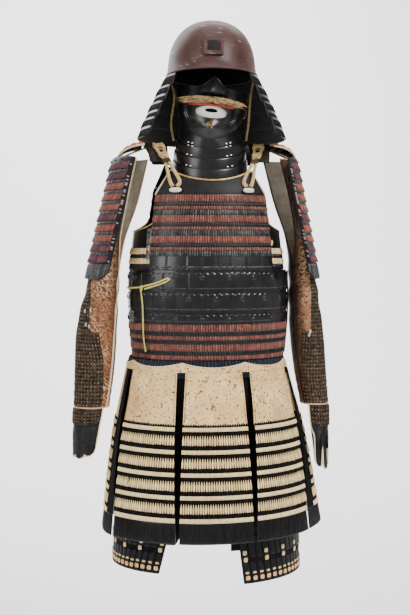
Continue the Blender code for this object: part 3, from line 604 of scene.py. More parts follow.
def bowlPoint(degrees, share, out=0.0):
    angle = math.radians(degrees)
    radius = (bowl["halfWidth"] + out) * max(1 - share**2.5, 0.0) ** 0.435
    z = bowl["rim"] + (bowl["height"] + out) * share
    flare = (0.003 + 0.008 * max(math.cos(angle), 0.0) ** 2) * max(1 - share / 0.16, 0.0) ** 1.5
    x = (radius + min(flare, 0.004)) * math.sin(angle)
    return fromHead((x, -(radius * bowl["long"] + flare) * math.cos(angle), z))


def makeHelmet():
    def place(u, t):
        return bowlPoint(360 * u, 1 - (1 - t) ** 1.6)

    shell = makeSurface(
        "helmetShell", bowl["around"], bowl["rings"], place, "russetLacquer", bowl["wall"], weld=True,
        lining="darkLiningAndShade",
    )
    lip = [bowlPoint(a, 0.006, 0.0002) for a in evenly(0, 355, 72)]
    rim = makeTube("helmetLip", lip, 0.0021, "russetLacquer", closed=True)
    settle(joinPieces("helmetBowl", [shell, rim]), "russet_lacquer", "helmet_bowl")
    socket = copyNode("crestSocket", "helmet_crest_socket", "russetLacquer", round=0.0007)
    settle(socket, "russet_lacquer", "helmet_crest_socket")
    # painted shade: a thin dark sheet on the bowl stands for the recess between the prongs
    recessShade = makeSurface(
        "paintedRecessShade", 8, 8,
        lambda u, t: bowlPoint(mix(-6.6, 6.6, u), mix(0.30, 0.50, t), 0.0004), "darkLiningAndShade", 0.0003,
    )
    settle(recessShade, "russet_lacquer")


neckGuard = {"count": 4, "top": 0.1656, "bottom": 0.020, "lap": 0.007, "wall": 0.0018, "pitch": 0.0062}


def makeNeckGuard():
    step = (neckGuard["top"] - neckGuard["bottom"]) / neckGuard["count"]
    for i in range(neckGuard["count"]):
        upper = neckGuard["top"] - step * i + (neckGuard["lap"] if i else 0.0)
        lower = neckGuard["top"] - step * (i + 1)
        base = i * (neckGuard["wall"] + 0.0014)
        edges = (50 + 2 * i, 310 - 2 * i)

        def surface(a, z, out):
            return fromHead(ringPoint(neckRings, a, z, base + out))

        def place(u, t):
            corner = 0.012 * max(abs(2 * u - 1) - 0.93, 0.0) / 0.07 * (1 - t)
            return surface(mix(*edges, u), mix(lower, upper, t) + corner * 0.4, 0.0)

        lame = makeSurface("lame", 72, 6, place, "blackLacquer", neckGuard["wall"], round=0.0004, lining="darkLiningAndShade")
        rows = [lame]
        bands = bandsOf(upper - 0.004, lower, (0.40, 0.12, 0.48, 0.0)) if i else [(upper - 0.006, lower)]
        for high, low in bands:
            addRow(
                rows, surface, always(edges[0] + 0.8, edges[1] - 0.8), high, low, neckGuard["pitch"],
                "blackSilk", rise=(0.0004, 0.0009), swell=0.0010,
            )
        settle(joinPieces(f"neckGuardLame{i + 1}", rows), "black_lacquer", f"neck_guard_lame_{i + 1}")


makeHelmet()
makeNeckGuard()
print("helmet done")


# the half mask: gloss black, with teeth, lip, moustache and chin tuft

mask = {
    "columns": 120, "rows": 96, "wall": 0.002, "folds": 5, "foldDepth": 0.0011, "mouthWide": 0.037,
    "mouthTall": 0.0130, "hairs": 170, "tuftHairs": 60,
}


def maskPoint(side, z, out=0.0):
    angle = math.radians(side * 84)
    high = clamp((z - 0.022) / 0.118)
    halfWidth = mix(0.060, 0.088, high**0.6) + out
    reach = mix(0.078, 0.094, math.sin(high**0.7 * math.pi / 2)) + out
    noseHigh = clamp((z - 0.113) / 0.037)
    nose = mix(0.034, 0.010, noseHigh) * math.exp(-((side / 0.30 / mix(1.15, 0.42, noseHigh)) ** 2) * 1.6)
    nose *= clamp((z - 0.1065) / 0.008)
    cheek = 0.0063 * math.exp(-(((abs(side) - 0.50) / 0.17) ** 2) - ((z - 0.108) / 0.016) ** 2)
    lips = 0.006 * math.exp(-((side / 0.42) ** 2) - ((z - 0.088) / 0.012) ** 2)
    chin = 0.010 * math.exp(-((side / 0.24) ** 2) - ((z - 0.040) / 0.014) ** 2)
    return Vector(
        (halfWidth * math.sin(angle), -reach * math.cos(angle) - nose - lips - chin - cheek, z)
    )


def maskTop(side):
    return 0.128 + 0.022 * math.exp(-((side / 0.13) ** 2)) + 0.010 * max(abs(side) - 0.55, 0.0) ** 1.2 / 0.45


def maskBottom(side):
    return 0.024 + 0.047 * side * side


def foldRise(side, z):
    # hammered folds that run round the corners of the mouth, and soft ridges on the nose
    away = math.hypot((abs(side) - 0.30) * 0.10, z - 0.078)
    share = (away - 0.017) / 0.026
    folds = 0.0
    if 0 < share < 1 and z < 0.100:
        folds = mask["foldDepth"] * math.sin(math.pi * share) * math.cos(share * mask["folds"] * 2 * math.pi)
        folds *= smoothStep((abs(side) - 0.24) / 0.12)
    nostril = 0.0022 * math.exp(-(((abs(side) - 0.20) / 0.055) ** 2) - ((z - 0.121) / 0.008) ** 2)
    groove = -0.0012 * math.exp(-(((abs(side) - 0.115) / 0.02) ** 2) - ((z - 0.122) / 0.010) ** 2)
    return folds + nostril + groove


def makeMask():
    def place(u, t):
        side = (2 * u - 1) * mix(0.75, 1.0, abs(2 * u - 1))
        z = mix(maskBottom(side), maskTop(side), t)
        return fromMask(maskPoint(side, z, foldRise(side, z)))

    shell = makeSurface("maskShell", mask["columns"], mask["rows"], place, "blackLacquer", mask["wall"])
    # an oval cutter opens the mouth
    deselectAll()
    bpy.ops.mesh.primitive_cylinder_add(vertices=40, radius=1.0, depth=0.06)
    cutter = bpy.context.object
    for vertex in cutter.data.vertices:
        x, y, z = vertex.co
        vertex.co = fromMask((x * mask["mouthWide"], z - 0.095, y * mask["mouthTall"] + 0.0735))
    weldPiece(cutter)
    applyModifier(shell, "BOOLEAN", operation="DIFFERENCE", object=cutter, solver="EXACT")
    bpy.data.objects.remove(cutter)
    smoothPiece(shell, 45)
    edge = [fromMask(maskPoint(s, maskTop(s), -0.0006)) for s in evenly(-1, 1, 60)]
    rim = makeTube("maskRim", edge, 0.0014, "blackLacquer", sides=3)
    settle(joinPieces("maskFace", [shell, rim]), "black_lacquer", "mask_face")

    teeth = copyNode("maskTeeth", "mask_teeth", "ivory", round=0.0004)
    settle(teeth, "ivory", "mask_teeth")
    # painted shade: a flat dark bead behind the teeth stands for the dark inside of the mouth
    mouthShade = makeBead("paintedMouthShade", (0, 0, 0), (0.0138, 0.0006, 0.0042), "darkLiningAndShade")
    for vertex in mouthShade.data.vertices:
        x, y, z = vertex.co
        vertex.co = fromMask((x, y - 0.0795, z + 0.0775))
    settle(mouthShade, "black_lacquer")
    # the red lip lies along the upper edge of the mouth
    line = [
        fromMask(maskPoint(s, 0.0893 - 0.0012 * abs(s) ** 2, 0.0008)) for s in evenly(-0.47, 0.47, 25)
    ]
    fullness = [0.45 + 0.55 * math.sin(math.pi * i / 24) ** 0.4 for i in range(25)]
    lip = makeTube("maskLip", line, 0.0036, "lipRed", fullness)
    settle(lip, "black_lacquer")


def hairLock(name, count, root, tip, bend, radius, finish):
    # fine tapered hairs between two functions of a hair's own share
    steps = evenly(0, 1, 5)
    hairs = []
    for k in range(count):
        start, end = root(k / count), tip(k / count)
        points = [start.lerp(end, s) + bend * math.sin(math.pi * s) for s in steps]
        hairs.append((points, [1.1 - 0.8 * s for s in steps]))
    piece = meshLines(name, hairs, radius, 0)
    return shadeStrands(piece, [draw.random() for _ in piece.data.vertices], finish)


def makeHair():
    # one bar of stiff hair under the nose; each hair starts near the middle and leans outwards
    def barPoint(s, high, deep):
        return fromMask((0.074 * s, -0.1080 + 0.030 * s * s - deep, 0.0982 - 0.003 * s * s + high))

    picks = [(draw.uniform(-1, 1), draw.uniform(-1, 1), draw.random(), draw.uniform(0.12, 0.30)) for k in range(400)]

    def spot(share, along):
        s, high, deep, run = picks[int(share * (len(picks) - 1))]
        s = math.copysign(abs(s) ** 0.85, s)
        limit = 0.96 + 0.16 * deep
        at = clamp(s * 0.86 + math.copysign(run * along, s), -limit, limit)
        body = 0.0072 * (1 - 0.30 * abs(at) ** 3) * (1 + 0.25 * along * deep)
        turn = high * math.pi / 2
        return barPoint(at, body * math.sin(turn) - 0.001 * along, body * math.cos(turn) * (0.75 + 0.3 * deep))

    core = makeTube(
        "moustacheCore", [barPoint(s, 0, 0) for s in evenly(-0.95, 0.95, 25)], 0.0058, "horseHair",
        [mix(1.0, 0.12, abs(s) ** 2.5) for s in evenly(-1, 1, 25)],
    )
    hairs = hairLock(
        "moustacheHairs", mask["hairs"], lambda k: spot(k, 0.0), lambda k: spot(k, 1.0), Vector((0, -0.0006, 0)),
        0.0007, "horseHair",
    )
    settle(joinPieces("maskMoustache", [core, hairs]), "horse_hair", "mask_moustache")

    centre = maskPoint(0.0, 0.0465, 0.0)
    rays = [(draw.uniform(-1, 1), draw.uniform(-1, 1)) for k in range(200)]

    def tuftSpot(share, reach):
        a, b = rays[int(share * (len(rays) - 1))]
        spread = 0.0035 + 0.0045 * reach
        deep = (0.0015 + 0.0075 * reach) * (1 - 0.35 * a * a)
        return fromMask(centre + Vector((a * spread, -deep, b * spread - 0.003 * reach)))

    tuft = hairLock(
        "chinTuft", mask["tuftHairs"], lambda k: tuftSpot(k, 0.0), lambda k: tuftSpot(k, 1.0),
        Vector((0, 0, 0.0006)), 0.0009, "horseHair",
    )
    settle(tuft, "horse_hair")
    bent = ((0.098, 0.001), (0.088, 0.0045), (0.078, 0.0035), (0.076, 0.0))
    hook = makeTube("maskHook", [fromMask(maskPoint(0.93, z, out)) for z, out in bent], 0.0013, "steel")
    settle(hook, "black_lacquer")


throat = {"count": 4, "wall": 0.0016, "stitch": 0.0042}


def throatPoint(z, degrees, out):
    point = ringPoint(throatRings, degrees, z, out)
    return point + Vector((-0.004, 0.0, 0.060 * (1 - math.cos(math.radians(degrees) * 0.72))))


def makeThroatGuard():
    def jaw(side, above, out):
        return rollMask(maskPoint(side, maskBottom(side) + above, out))

    for i in range(throat["count"]):
        top = 0.0185 - 0.0245 * i
        bottom = top - (0.0270 if i == 0 else 0.0300)
        base = i * (throat["wall"] + 0.0014)

        def place(u, t):
            a = mix(-84, 84, u)
            if i == 0:
                high, low = jaw(a / 96, 0.004, -0.0031), throatPoint(bottom, a, base + 0.0009)
                middle = jaw(a / 96, -0.005, -0.0031)
                point = middle.lerp(high, (t - 0.6) / 0.4) if t > 0.6 else low.lerp(middle, t / 0.6)
            else:
                rise = 0.0010 * math.sin(math.pi * t) + 0.0006 * (1 - t)
                point = throatPoint(mix(bottom, top, t), a, base + rise)
            return fromHead(point)

        lame = makeSurface("lame", 60, 10, place, "blackLacquer", throat["wall"], round=0.0004)
        parts = [lame]
        out = base + (0.0018 if i else 0.0016)
        edge = [fromHead(throatPoint(bottom + 0.0012, a, out)) for a in evenly(-82, 82, 50)]
        parts.append(makeTube("edge", edge, 0.0009, "blackLacquer", sides=2))
        if i < 3:
            # square stitches at each side of the front: a black lace knot between two ivory beads, which paint the
            # highlights round it
            for a in (-41, -33, 27, 35):
                for k, finish in enumerate(("ivory", "blackSilk", "ivory")):
                    z = bottom + 0.0105 - k * 0.0036
                    spot = fromHead(throatPoint(z, a, base + 0.0018))
                    size = (throat["stitch"] * 0.55, 0.0009, 0.0015)
                    parts.append(makeBead("stitch", spot, size, finish, (0, 0, math.radians(a - 5)), 8, 6, square=0.5))
        settle(joinPieces(f"throatLame{i + 1}", parts), "black_lacquer", f"throat_lame_{i + 1}")


makeMask()
makeHair()
makeThroatGuard()
for side, name in hands:
    route = [
        (side * 0.1000, 0.012, 0.1651), (side * 0.0884 + 0.0022, -0.0078, 0.123),
        (side * 0.0900 - 0.004, -0.002, 0.060), (side * 0.0838 - 0.004, -0.006, 0.018),
    ]
    cord = makeTube(f"chinCord{name}", [fromHead(p) for p in smoothPath(route, 30)], 0.0027, "tanCord")
    settle(cord, "tan_cord", f"chin_cord_{name.lower()}")
print("mask and throat guard done")


# the cuirass, front and back

cuirass = {
    "wall": 0.002, "pitch": 0.0053, "chestTop": -0.0795, "scalesTop": -0.110, "scalesBottom": -0.2485,
    "lowerPlateBottom": -0.280, "bellyPitch": 0.0467, "waistTop": -0.4003, "bottom": -0.481, "rivet": 0.0062,
    "lobe": 4.65, "rivetPitch": 18.6, "widePitch": 0.0058,
}
chestPattern = (0.38, 0.18, 0.18, 0.26)
waistPattern = (0.28, 0.14, 0.16, 0.13, 0.27, 0.14, 0.18, 0.0)
scaleHeads = {"rise": (0.0004, 0.0012), "swell": 0.0009, "width": 0.80, "square": 0.3}
stitches = {"rise": (0.0016, 0.0016), "swell": 0.0009, "width": 0.62, "tilt": 0.35, "square": 0.2}


def cuirassPoint(a, z, out=0.0):
    return ringPoint(cuirassRings, a, z, out)


def backPoint(a, z, out=0.0):
    return ringPoint(cuirassRings, a, z, backInset + out)


def board(name, surface, edges, top, bottom, finish, columns=60, rows=12, thick=0.002, relief=None):
    def place(u, t):
        z = mix(bottom, top, t)
        a = mix(*edges(z), u)
        return surface(a, z, relief(a, z) if relief else 0.0)

    return makeSurface(name, columns, rows, place, finish, thick)


def lacedBoard(name, surface, edges, top, bottom, pattern, repeats, finish, columns=60, headFinish="greyScaleAndSheen"):
    # a black board with its laced bands, and a row of scale heads in each bare gap; the heads in every second gap take
    # headFinish, and where that is grey, the grey is partly painted reflection
    parts = [board("board", surface, edges, top, bottom, "blackScale", columns, 14, cuirass["wall"])]
    bands = bandsOf(top, bottom, pattern * repeats)
    for k, (high, low) in enumerate(bands):
        addRow(parts, surface, edges, high - 0.0002, low, cuirass["pitch"], finish)
        after = bands[k + 1][0] if k + 1 < len(bands) else bottom
        if low - after > 0.0015:
            heads = headFinish if k % 2 else "blackScale"
            addRow(
                parts, surface, edges, low + 0.0010, after - 0.0012, cuirass["pitch"], heads, **scaleHeads
            )
    return joinPieces(name, parts)


def neckline(degrees):
    return cuirass["chestTop"] + 0.025 * (degrees / neckEdge) ** 2


def makeFront():
    def chest(u, t):
        a = 2 * u - 1
        z = mix(neckline(a * neckEdge), cuirass["scalesTop"] + 0.0003, 1 - t)
        return cuirassPoint(a * mix(neckEdge, frontEdge, 1 - t), z, 0.0008 * math.sin(math.pi * t))

    parts = [makeSurface("plate", 60, 14, chest, "dullBlack", 0.002, round=0.0004)]
    for side in (-1, 1):
        line = [
            cuirassPoint(side * mix(neckEdge, frontEdge, s), mix(neckline(neckEdge), cuirass["scalesTop"], s), 0.0012)
            for s in evenly(0.0, 1.0, 24)
        ]
        parts.append(makeTube("edge", line, 0.0018, "paleEdge", sides=3))
    settle(joinPieces("chestPlate", parts), "black_lacquer", "chest_plate")

    def pipingPlace(start, end):
        def place(u, t, w, lift):
            a = mix(start, end, u)
            return cuirassPoint(a, neckline(a) + 0.0022 + (t - 0.5) * 0.0042, -0.0010 + w * 0.0019)

        return place

    twisted = makeStrands("piping", 46, pipingPlace(-neckEdge, 6), "goldCord", width=1.25, tilt=1.5, square=0.2)
    plain = makeStrands("piping", 34, pipingPlace(6, neckEdge), "tanCord", width=1.35, tilt=1.1, square=0.35)
    settle(joinPieces("necklinePiping", [twisted, plain]), "tan_cord", "neckline_piping")

    edges = always(-frontEdge, frontEdge)
    scales = lacedBoard(
        "breastScales", cuirassPoint, edges, cuirass["scalesTop"], cuirass["scalesBottom"], chestPattern, 3, "redLace"
    )
    settle(scales, "red_lacing", "breast_scales")

    top, bottom = cuirass["scalesBottom"] - 0.0003, cuirass["lowerPlateBottom"]

    def cracks(a, z):
        near = min(abs(a - c) for c in (-34, -19, -8, 2, 11, 24, 37))
        return 0.0012 * (top - z) / (top - bottom) - 0.0011 * math.exp(-((near / 0.45) ** 2))

    parts = [board("lowerPlate", cuirassPoint, edges, top, bottom, "blackLacquer", 200, 10, 0.002, cracks)]
    # a roped line, and the rounded foot under it
    addRow(
        parts, cuirassPoint, always(-frontEdge + 3, frontEdge - 2), bottom + 0.0092, bottom + 0.0042,
        cuirass["widePitch"], "greyScaleAndSheen", rise=(0.0014, 0.0014), swell=0.0014, tilt=0.9, width=0.95, square=0.2,
    )
    addRow(
        parts, cuirassPoint, edges, bottom + 0.0026, bottom + 0.0003, 0.0120, "blackLacquer",
        rise=(0.0016, 0.0016), swell=0.0010, width=0.98,
    )
    settle(joinPieces("breastLowerPlate", parts), "black_lacquer", "breast_lower_plate")


def scaleRelief(top, bottom, shift):
    # scalloped tops, upright joints between the scales, and a gentle swell across each one
    def relief(a, z):
        turn = (a - shift) / cuirass["rivetPitch"]
        scallop = top - 0.0088 + 0.0032 * abs(math.sin(math.pi * (a - shift) / cuirass["lobe"]))
        raised = 0.0015 * smoothStep((scallop - z) / 0.0010 + 0.5)
        joint = (turn + 0.5) % 1
        joint = min(joint, 1 - joint) * cuirass["rivetPitch"]
        groove = 0.0010 * math.exp(-((joint / 0.35) ** 2)) if z < scallop else 0.0
        swell = 0.0007 * math.cos(2 * math.pi * turn)
        end = 0.0008 * smoothStep((bottom + 0.007 - z) / 0.002)
        return raised - groove + swell - end

    return relief


def rivetsAt(surface, angles, z, out):
    parts = []
    for a in angles:
        spot = surface(a, z, out)
        ahead = surface(a + 0.5, z, out) - surface(a - 0.5, z, out)
        turn = math.atan2(ahead.y, ahead.x)
        size = cuirass["rivet"]
        parts.append(makeBead("rivet", spot, (size, 0.0034, size), "blackLacquer", (0, 0, turn), 16, 10))
        reach = size * 1.22
        # a grey ring round each rivet, partly a painted highlight
        ring = hoop(spot, ahead.normalized() * reach, Vector((0, 0, reach)), 20)
        parts.append(makeTube("rivetRing", ring, 0.0008, "greyScaleAndSheen", sides=2, closed=True))
    return parts


def bellyBand(i):
    top = cuirass["lowerPlateBottom"] - 0.0003 - cuirass["bellyPitch"] * i
    return top, (top - cuirass["bellyPitch"] if i < 2 else cuirass["waistTop"]) + 0.0003


def makeBelly():
    for i in range(3):
        top, bottom = bellyBand(i)
        shift = -8.2 if i != 1 else 1.2
        relief = scaleRelief(top, bottom, shift)
        edges = always(-frontEdge, hingeEdge)
        parts = [board("plate", cuirassPoint, edges, top, bottom, "blackLacquer", 420, 34, 0.002, relief)]
        spots = [shift + cuirass["rivetPitch"] * k for k in range(-2, 5 if i == 1 else 4)]
        parts += rivetsAt(cuirassPoint, spots, top - 0.0165, 0.0014)
        if i < 2:
            addRow(
                parts, cuirassPoint, always(-frontEdge + 3, hingeEdge - 4), bottom + 0.0078, bottom + 0.0056,
                cuirass["widePitch"], "greyScaleAndSheen", **stitches,
            )
        settle(joinPieces(f"bellyPlate{i + 1}", parts), "black_lacquer", f"belly_plate_{i + 1}")
    waist = lacedBoard(
        "waistScalesFront", cuirassPoint, always(-frontEdge, hingeEdge), cuirass["waistTop"], cuirass["bottom"],
        waistPattern, 1, "redLace", 90, "blackScale",
    )
    settle(waist, "red_lacing", "waist_scales_front")


def makeBack():
    def topPlate(u, t):
        a = 2 * u - 1
        z = mix(-0.030 - 0.010 * (1 - a * a), -0.0847, 1 - t)
        return backPoint(180 + a * mix(42, 50, 1 - t), z, 0.0006 * math.sin(math.pi * t))

    plate = makeSurface("backTopPlate", 50, 14, topPlate, "blackLacquer", 0.002, round=0.0004)
    settle(plate, "black_lacquer", "back_top_plate")
    scales = lacedBoard(
        "backScales", backPoint, always(130, 230), -0.085, cuirass["lowerPlateBottom"], chestPattern, 4, "redLace"
    )
    settle(scales, "red_lacing", "back_scales")
    parts = []
    for i in range(3):
        top, bottom = bellyBand(i)
        edges = always(hingeEdge + 0.4, 360 - backTuck)
        shift = 180.0 if i != 1 else 189.3
        relief = scaleRelief(top, bottom, shift)
        parts.append(board("plate", backPoint, edges, top, bottom, "blackLacquer", 480, 22, 0.002, relief))
        spots = [shift + cuirass["rivetPitch"] * k for k in range(-4, 7)]
        parts += rivetsAt(backPoint, [a for a in spots if 95 < a < 306], top - 0.0165, 0.0014)
        addRow(
            parts, backPoint, always(hingeEdge + 3, 310), bottom + 0.0078, bottom + 0.0056, cuirass["widePitch"],
            "greyScaleAndSheen", **stitches,
        )
    settle(joinPieces("backPlates", parts), "black_lacquer", "back_plates")
    waist = lacedBoard(
        "waistScalesBack", backPoint, always(hingeEdge + 0.4, 360 - backTuck), cuirass["waistTop"], cuirass["bottom"],
        waistPattern, 1, "redLace", 120, "blackScale",
    )
    settle(waist, "red_lacing", "waist_scales_back")


def makeSides():
    bandsTop, bottom = -0.2300, cuirass["lowerPlateBottom"]
    for side, name in hands:
        start = frontEdge + 0.3 if side > 0 else backTuck
        middle = (start + 130) / 2

        def surface(a, z, out):
            return backPoint(side * a, z, out)

        def armhole(a):
            return -0.158 - 0.034 * max(1 - ((a - middle) / 42) ** 2, 0.0) ** 0.5

        def place(u, t):
            a = mix(start, sideEdge, u if side > 0 else 1 - u)
            return surface(a, mix(bottom, armhole(a), t), 0.0)

        parts = [makeSurface("side", 70, 16, place, "blackLacquer", 0.002, round=0.0004)]
        edge = [surface(a, armhole(a), -0.0008) for a in evenly(start, sideEdge, 40)]
        parts.append(makeTube("edge", edge, 0.0017, "tanEdge"))
        edges = always(start + 0.3, sideEdge - 0.3) if side > 0 else always(sideEdge - 0.3, start + 0.3)
        bands = bandsOf(bandsTop, bottom, (0.30, 0.16, 0.28, 0.26))
        for high, low in bands:
            addRow(parts, surface, edges, high, low, cuirass["widePitch"], "creamLace")
        for high, low in ((bands[0][1], bands[1][0]), (bands[1][1], bottom)):
            addRow(
                parts, surface, edges, high + 0.0006, low - 0.0006, cuirass["widePitch"], "blackScale", **scaleHeads
            )
        settle(joinPieces(f"underarmPlate{name}", parts), "black_lacquer", f"underarm_plate_{name.lower()}")

    # a silvery fitting closes the right side, and a cream knot ties the left one
    def fitting(u, t):
        return backPoint(mix(-55.4, -50.6, u), mix(-0.222, -0.186, t), 0.0022 + 0.0006 * math.sin(math.pi * t))

    parts = [makeSurface("fitting", 12, 20, fitting, "steel", 0.0012, round=0.0004)]
    boss = backPoint(-53, -0.196, 0.0032)
    parts.append(makeBead("boss", boss, (0.0036, 0.0022, 0.0036), "blackLacquer", segments=14))
    for z, tall in ((-0.228, 0.0052), (-0.239, 0.0060), (-0.251, 0.0064)):
        link, size = backPoint(-52.6, z, 0.0022), (0.0062, 0.0022, tall)
        parts.append(makeBead("link", link, size, "steel", (0, 0, math.radians(-50)), square=0.3))
    parts.append(makeBead("tie", backPoint(-51.4, -0.2335, 0.0036), (0.0022, 0.0018, 0.0050), "creamLace"))
    settle(joinPieces("rightFitting", parts), "black_lacquer")
    knot = []
    for turn in (-50, 10, 60):
        loop = []
        for k in range(16):
            swing = math.tau * k / 16
            across, up = 0.0062 * math.cos(swing), 0.0026 * math.sin(swing)
            x = across * math.cos(math.radians(turn)) - up * math.sin(math.radians(turn))
            z = across * math.sin(math.radians(turn)) + up * math.cos(math.radians(turn))
            loop.append(backPoint(52.0 + math.degrees(x / 0.178), -0.2185 + z, 0.0022 + 0.0005 * (turn + 50) / 50))
        knot.append(makeTube("loop", loop, 0.0011, "creamLace", sides=3, closed=True))
    settle(joinPieces("leftKnot", knot), "cream_lacing")
    hinge = copyNode("sideHinge", "side_hinge", "blackLacquer")
    settle(hinge, "black_lacquer", "side_hinge")


# grey for scale heads, rivet rings, stitches, ribs and studs; its lighter grey is partly painted reflection on black
# lacquer
makeFinish(
    "greyScaleAndSheen", (0.020, 0.020, 0.022), (0.11, 0.105, 0.10), 0.30, grain=150, coat=0.2, bump=0.3, bumpScale=260,
    shade=0.8,
)
makeFront()
makeBelly()
makeBack()
makeSides()
print("cuirass done")


# the shoulders: padded straps, quilted wings, tied cords, and a guard of ten laced rows on each arm

strap = {"narrow": 0.021, "wide": 0.026, "crown": 0.0015, "thick": 0.005, "cord": 0.0036}
strapSpine = [
    (0.101, 0.0853, -0.0283), (0.111, 0.070, 0.001), (0.122, 0.030, 0.0125), (0.122, -0.015, 0.0115),
    (0.119, -0.047, -0.0045), (0.117, -0.068, -0.0330),
]
strapCordOuter = [
    (0.1270, -0.034, 0.0098), (0.1200, -0.058, -0.0075), (0.1045, -0.0800, -0.0340), (0.0945, -0.0903, -0.0780),
    (0.0885, -0.0985, -0.0925),
]
strapCordInner = [
    (0.1090, -0.036, 0.0098), (0.1040, -0.0600, -0.0080), (0.0965, -0.0840, -0.0340), (0.0735, -0.0997, -0.0780),
    (0.0785, -0.1028, -0.0925),
]
wing = {"inner": 0.1490, "outer": 0.207, "half": 0.058, "thick": 0.0055, "stitch": 0.013}
guard = {
    "radius": 0.230, "halfSpan": 27.0, "facing": 10.0, "top": -0.020, "bottom": -0.302, "wall": 0.0032,
    "bandsFrom": 0.055, "bandsTo": 0.86, "edgeStrip": 3.2, "pitch": 0.0047,
}
guardBands = ("maroon", "maroon", "orange", "orange", "orange", "maroon", "orange", "orange", "maroon", "maroon")


def mirrored(point, side):
    return Vector((side * point[0], point[1], point[2]))


def makeStraps():
    spine = smoothPath(strapSpine, 40)
    for side, name in hands:

        def place(u, t):
            point, i = alongLine(spine, 1 - t)
            ahead = spine[i + 1] - spine[i]
            up = Vector((0.0, -ahead.z, ahead.y)).normalized()
            up = up if up.z > 0 else -up
            half = mix(strap["narrow"], strap["wide"], math.sin(math.pi * (1 - t)))
            across = (2 * u - 1) * side
            quilt = 0.0007 * abs(math.sin(math.pi * 3 * u)) ** 0.5
            crown = strap["crown"] * (1 - across * across) + quilt - 0.0007
            return mirrored(point + Vector((across * half, 0, 0)) + up * crown, side)

        band = makeSurface("strap", 30, 60, place, "strapCloth", strap["thick"] - 0.0007, round=0.0012)
        rims = []
        for share in (0.03, 0.97):
            line = [place(share, t) + Vector((0, 0, 0.0004)) for t in evenly(0.02, 0.98, 40)]
            rims.append(makeTube("rim", line, 0.0010, "blackSilk", sides=2))
        band = joinPieces(f"shoulderStrap{name}", [band, *rims])
        settle(band, "black_lacquer", f"shoulder_strap_{name.lower()}")


def wingPoint(side, share, across, lift):
    # across runs from -1 at the front to 1 at the back, share from the strap outwards
    half = wing["half"] * math.sqrt(max(1 - (share * 0.97) ** 2.6, 0.02))
    x, y = mix(wing["inner"], wing["outer"], share), across * half
    z = 0.0145 - 0.010 * share - 0.018 * share**3 - 1.6 * y * y * (1 - 0.3 * share)
    return Vector((side * x, y - 0.004, z + lift))


def makeWings():
    for side, name in hands:

        def place(u, t):
            share = u if side > 0 else 1 - u
            across = 2 * t - 1
            edge = min(share, 1 - share, (1 - abs(across)) * 1.4, 0.16) / 0.16
            row = abs(math.sin(math.pi * across * wing["half"] / wing["stitch"])) ** 0.6
            column = abs(math.sin(math.pi * share * 3.5)) ** 0.6
            puff = 0.0036 * row * column * edge ** 0.5
            return wingPoint(side, share, across, puff - 0.0010 + 0.0010 * edge ** 0.5)

        pad = makeSurface("wing", 56, 90, place, "redCloth", wing["thick"] - 0.001, round=0.0010, lining="blackCloth")
        rim = [wingPoint(side, s, -1, -0.0036) for s in evenly(0.0, 1.0, 24)]
        rim += [wingPoint(side, 1.0, c, -0.0036) for c in evenly(-0.9, 0.9, 10)]
        rim += [wingPoint(side, s, 1, -0.0036) for s in evenly(1.0, 0.0, 24)]
        edge = makeTube("edge", rim, 0.0022, "paleEdge", sides=3)
        pad = settle(joinPieces(f"shoulderWing{name}", [pad, edge]), "red_cloth", f"shoulder_wing_{name.lower()}")


def makeStrapCords():
    for side, name in hands:
        parts = []
        for route in (strapCordOuter, strapCordInner):
            line = smoothPath([mirrored(point, side) for point in route], 40)
            taper = [1.0 + 0.30 * smoothStep((t - 0.50) / 0.40) * (1 if t < 0.93 else 1.12) for t in evenly(0, 1, 40)]
            parts.append(makeTube("strand", line, strap["cord"], "tanCord", taper, sides=4))
        outer = smoothPath([mirrored(point, side) for point in strapCordOuter], 60)
        inner = smoothPath([mirrored(point, side) for point in strapCordInner], 60)
        # wraps that bind both strands: light ones above, and dark ones under them
        for share, finish, size, reach in (
            (0.10, "tanCord", 0.0026, 1.02), (0.16, "tanCord", 0.0026, 1.02), (0.36, "tanCord", 0.0030, 1.0),
            (0.415, "tanCord", 0.0030, 1.0), (0.475, "darkWrap", 0.0028, 1.05), (0.520, "darkWrap", 0.0028, 1.05),
        ):
            k = int(share * 59)
            middle, half = (outer[k] + inner[k]) / 2, (outer[k] - inner[k]).length / 2
            across = (outer[k] - inner[k]).normalized()
            ahead = ((outer[k + 1] + inner[k + 1]) / 2 - middle).normalized()
            out = across.cross(ahead).normalized()
            ring = []
            for i in range(20):
                swing = math.tau * i / 20
                ring.append(
                    middle + across * math.cos(swing) * (half + strap["cord"] * 0.9) * reach
                    + out * math.sin(swing) * strap["cord"] * 1.15 + ahead * 0.0016 * math.sin(2 * swing)
                )
            parts.append(makeTube("wrap", ring, size, finish, sides=3, closed=True))
        settle(joinPieces(f"strapCord{name}", parts), "tan_cord", f"strap_cord_{name.lower()}")
        turn = math.asin(0.0832 / 0.160) * side
        bead = makeBead(
            f"strapToggle{name}", (side * 0.0832, -0.1054, -0.1002), (0.0150, 0.0050, 0.0056), "ivory",
            (0, 0, turn), 24, 14, 0.22,
        )
        settle(bead, "ivory", f"strap_toggle_{name.lower()}")


def guardPoint(side):
    low = 0.2770 + armDrift[side][1] * (0.6 if side > 0 else 0.2)
    facing = math.radians(guard["facing"])

    def surface(degrees, share, out=0.0):
        centre = mix(0.2150, low, share) - guard["radius"] * math.cos(facing)
        swell, turn = guard["radius"] + out, facing + math.radians(degrees)
        y = -swell * math.sin(turn) + guard["radius"] * math.sin(facing) * 0.9
        return Vector((side * (centre + swell * math.cos(turn)), y, mix(guard["top"], guard["bottom"], share)))

    return surface


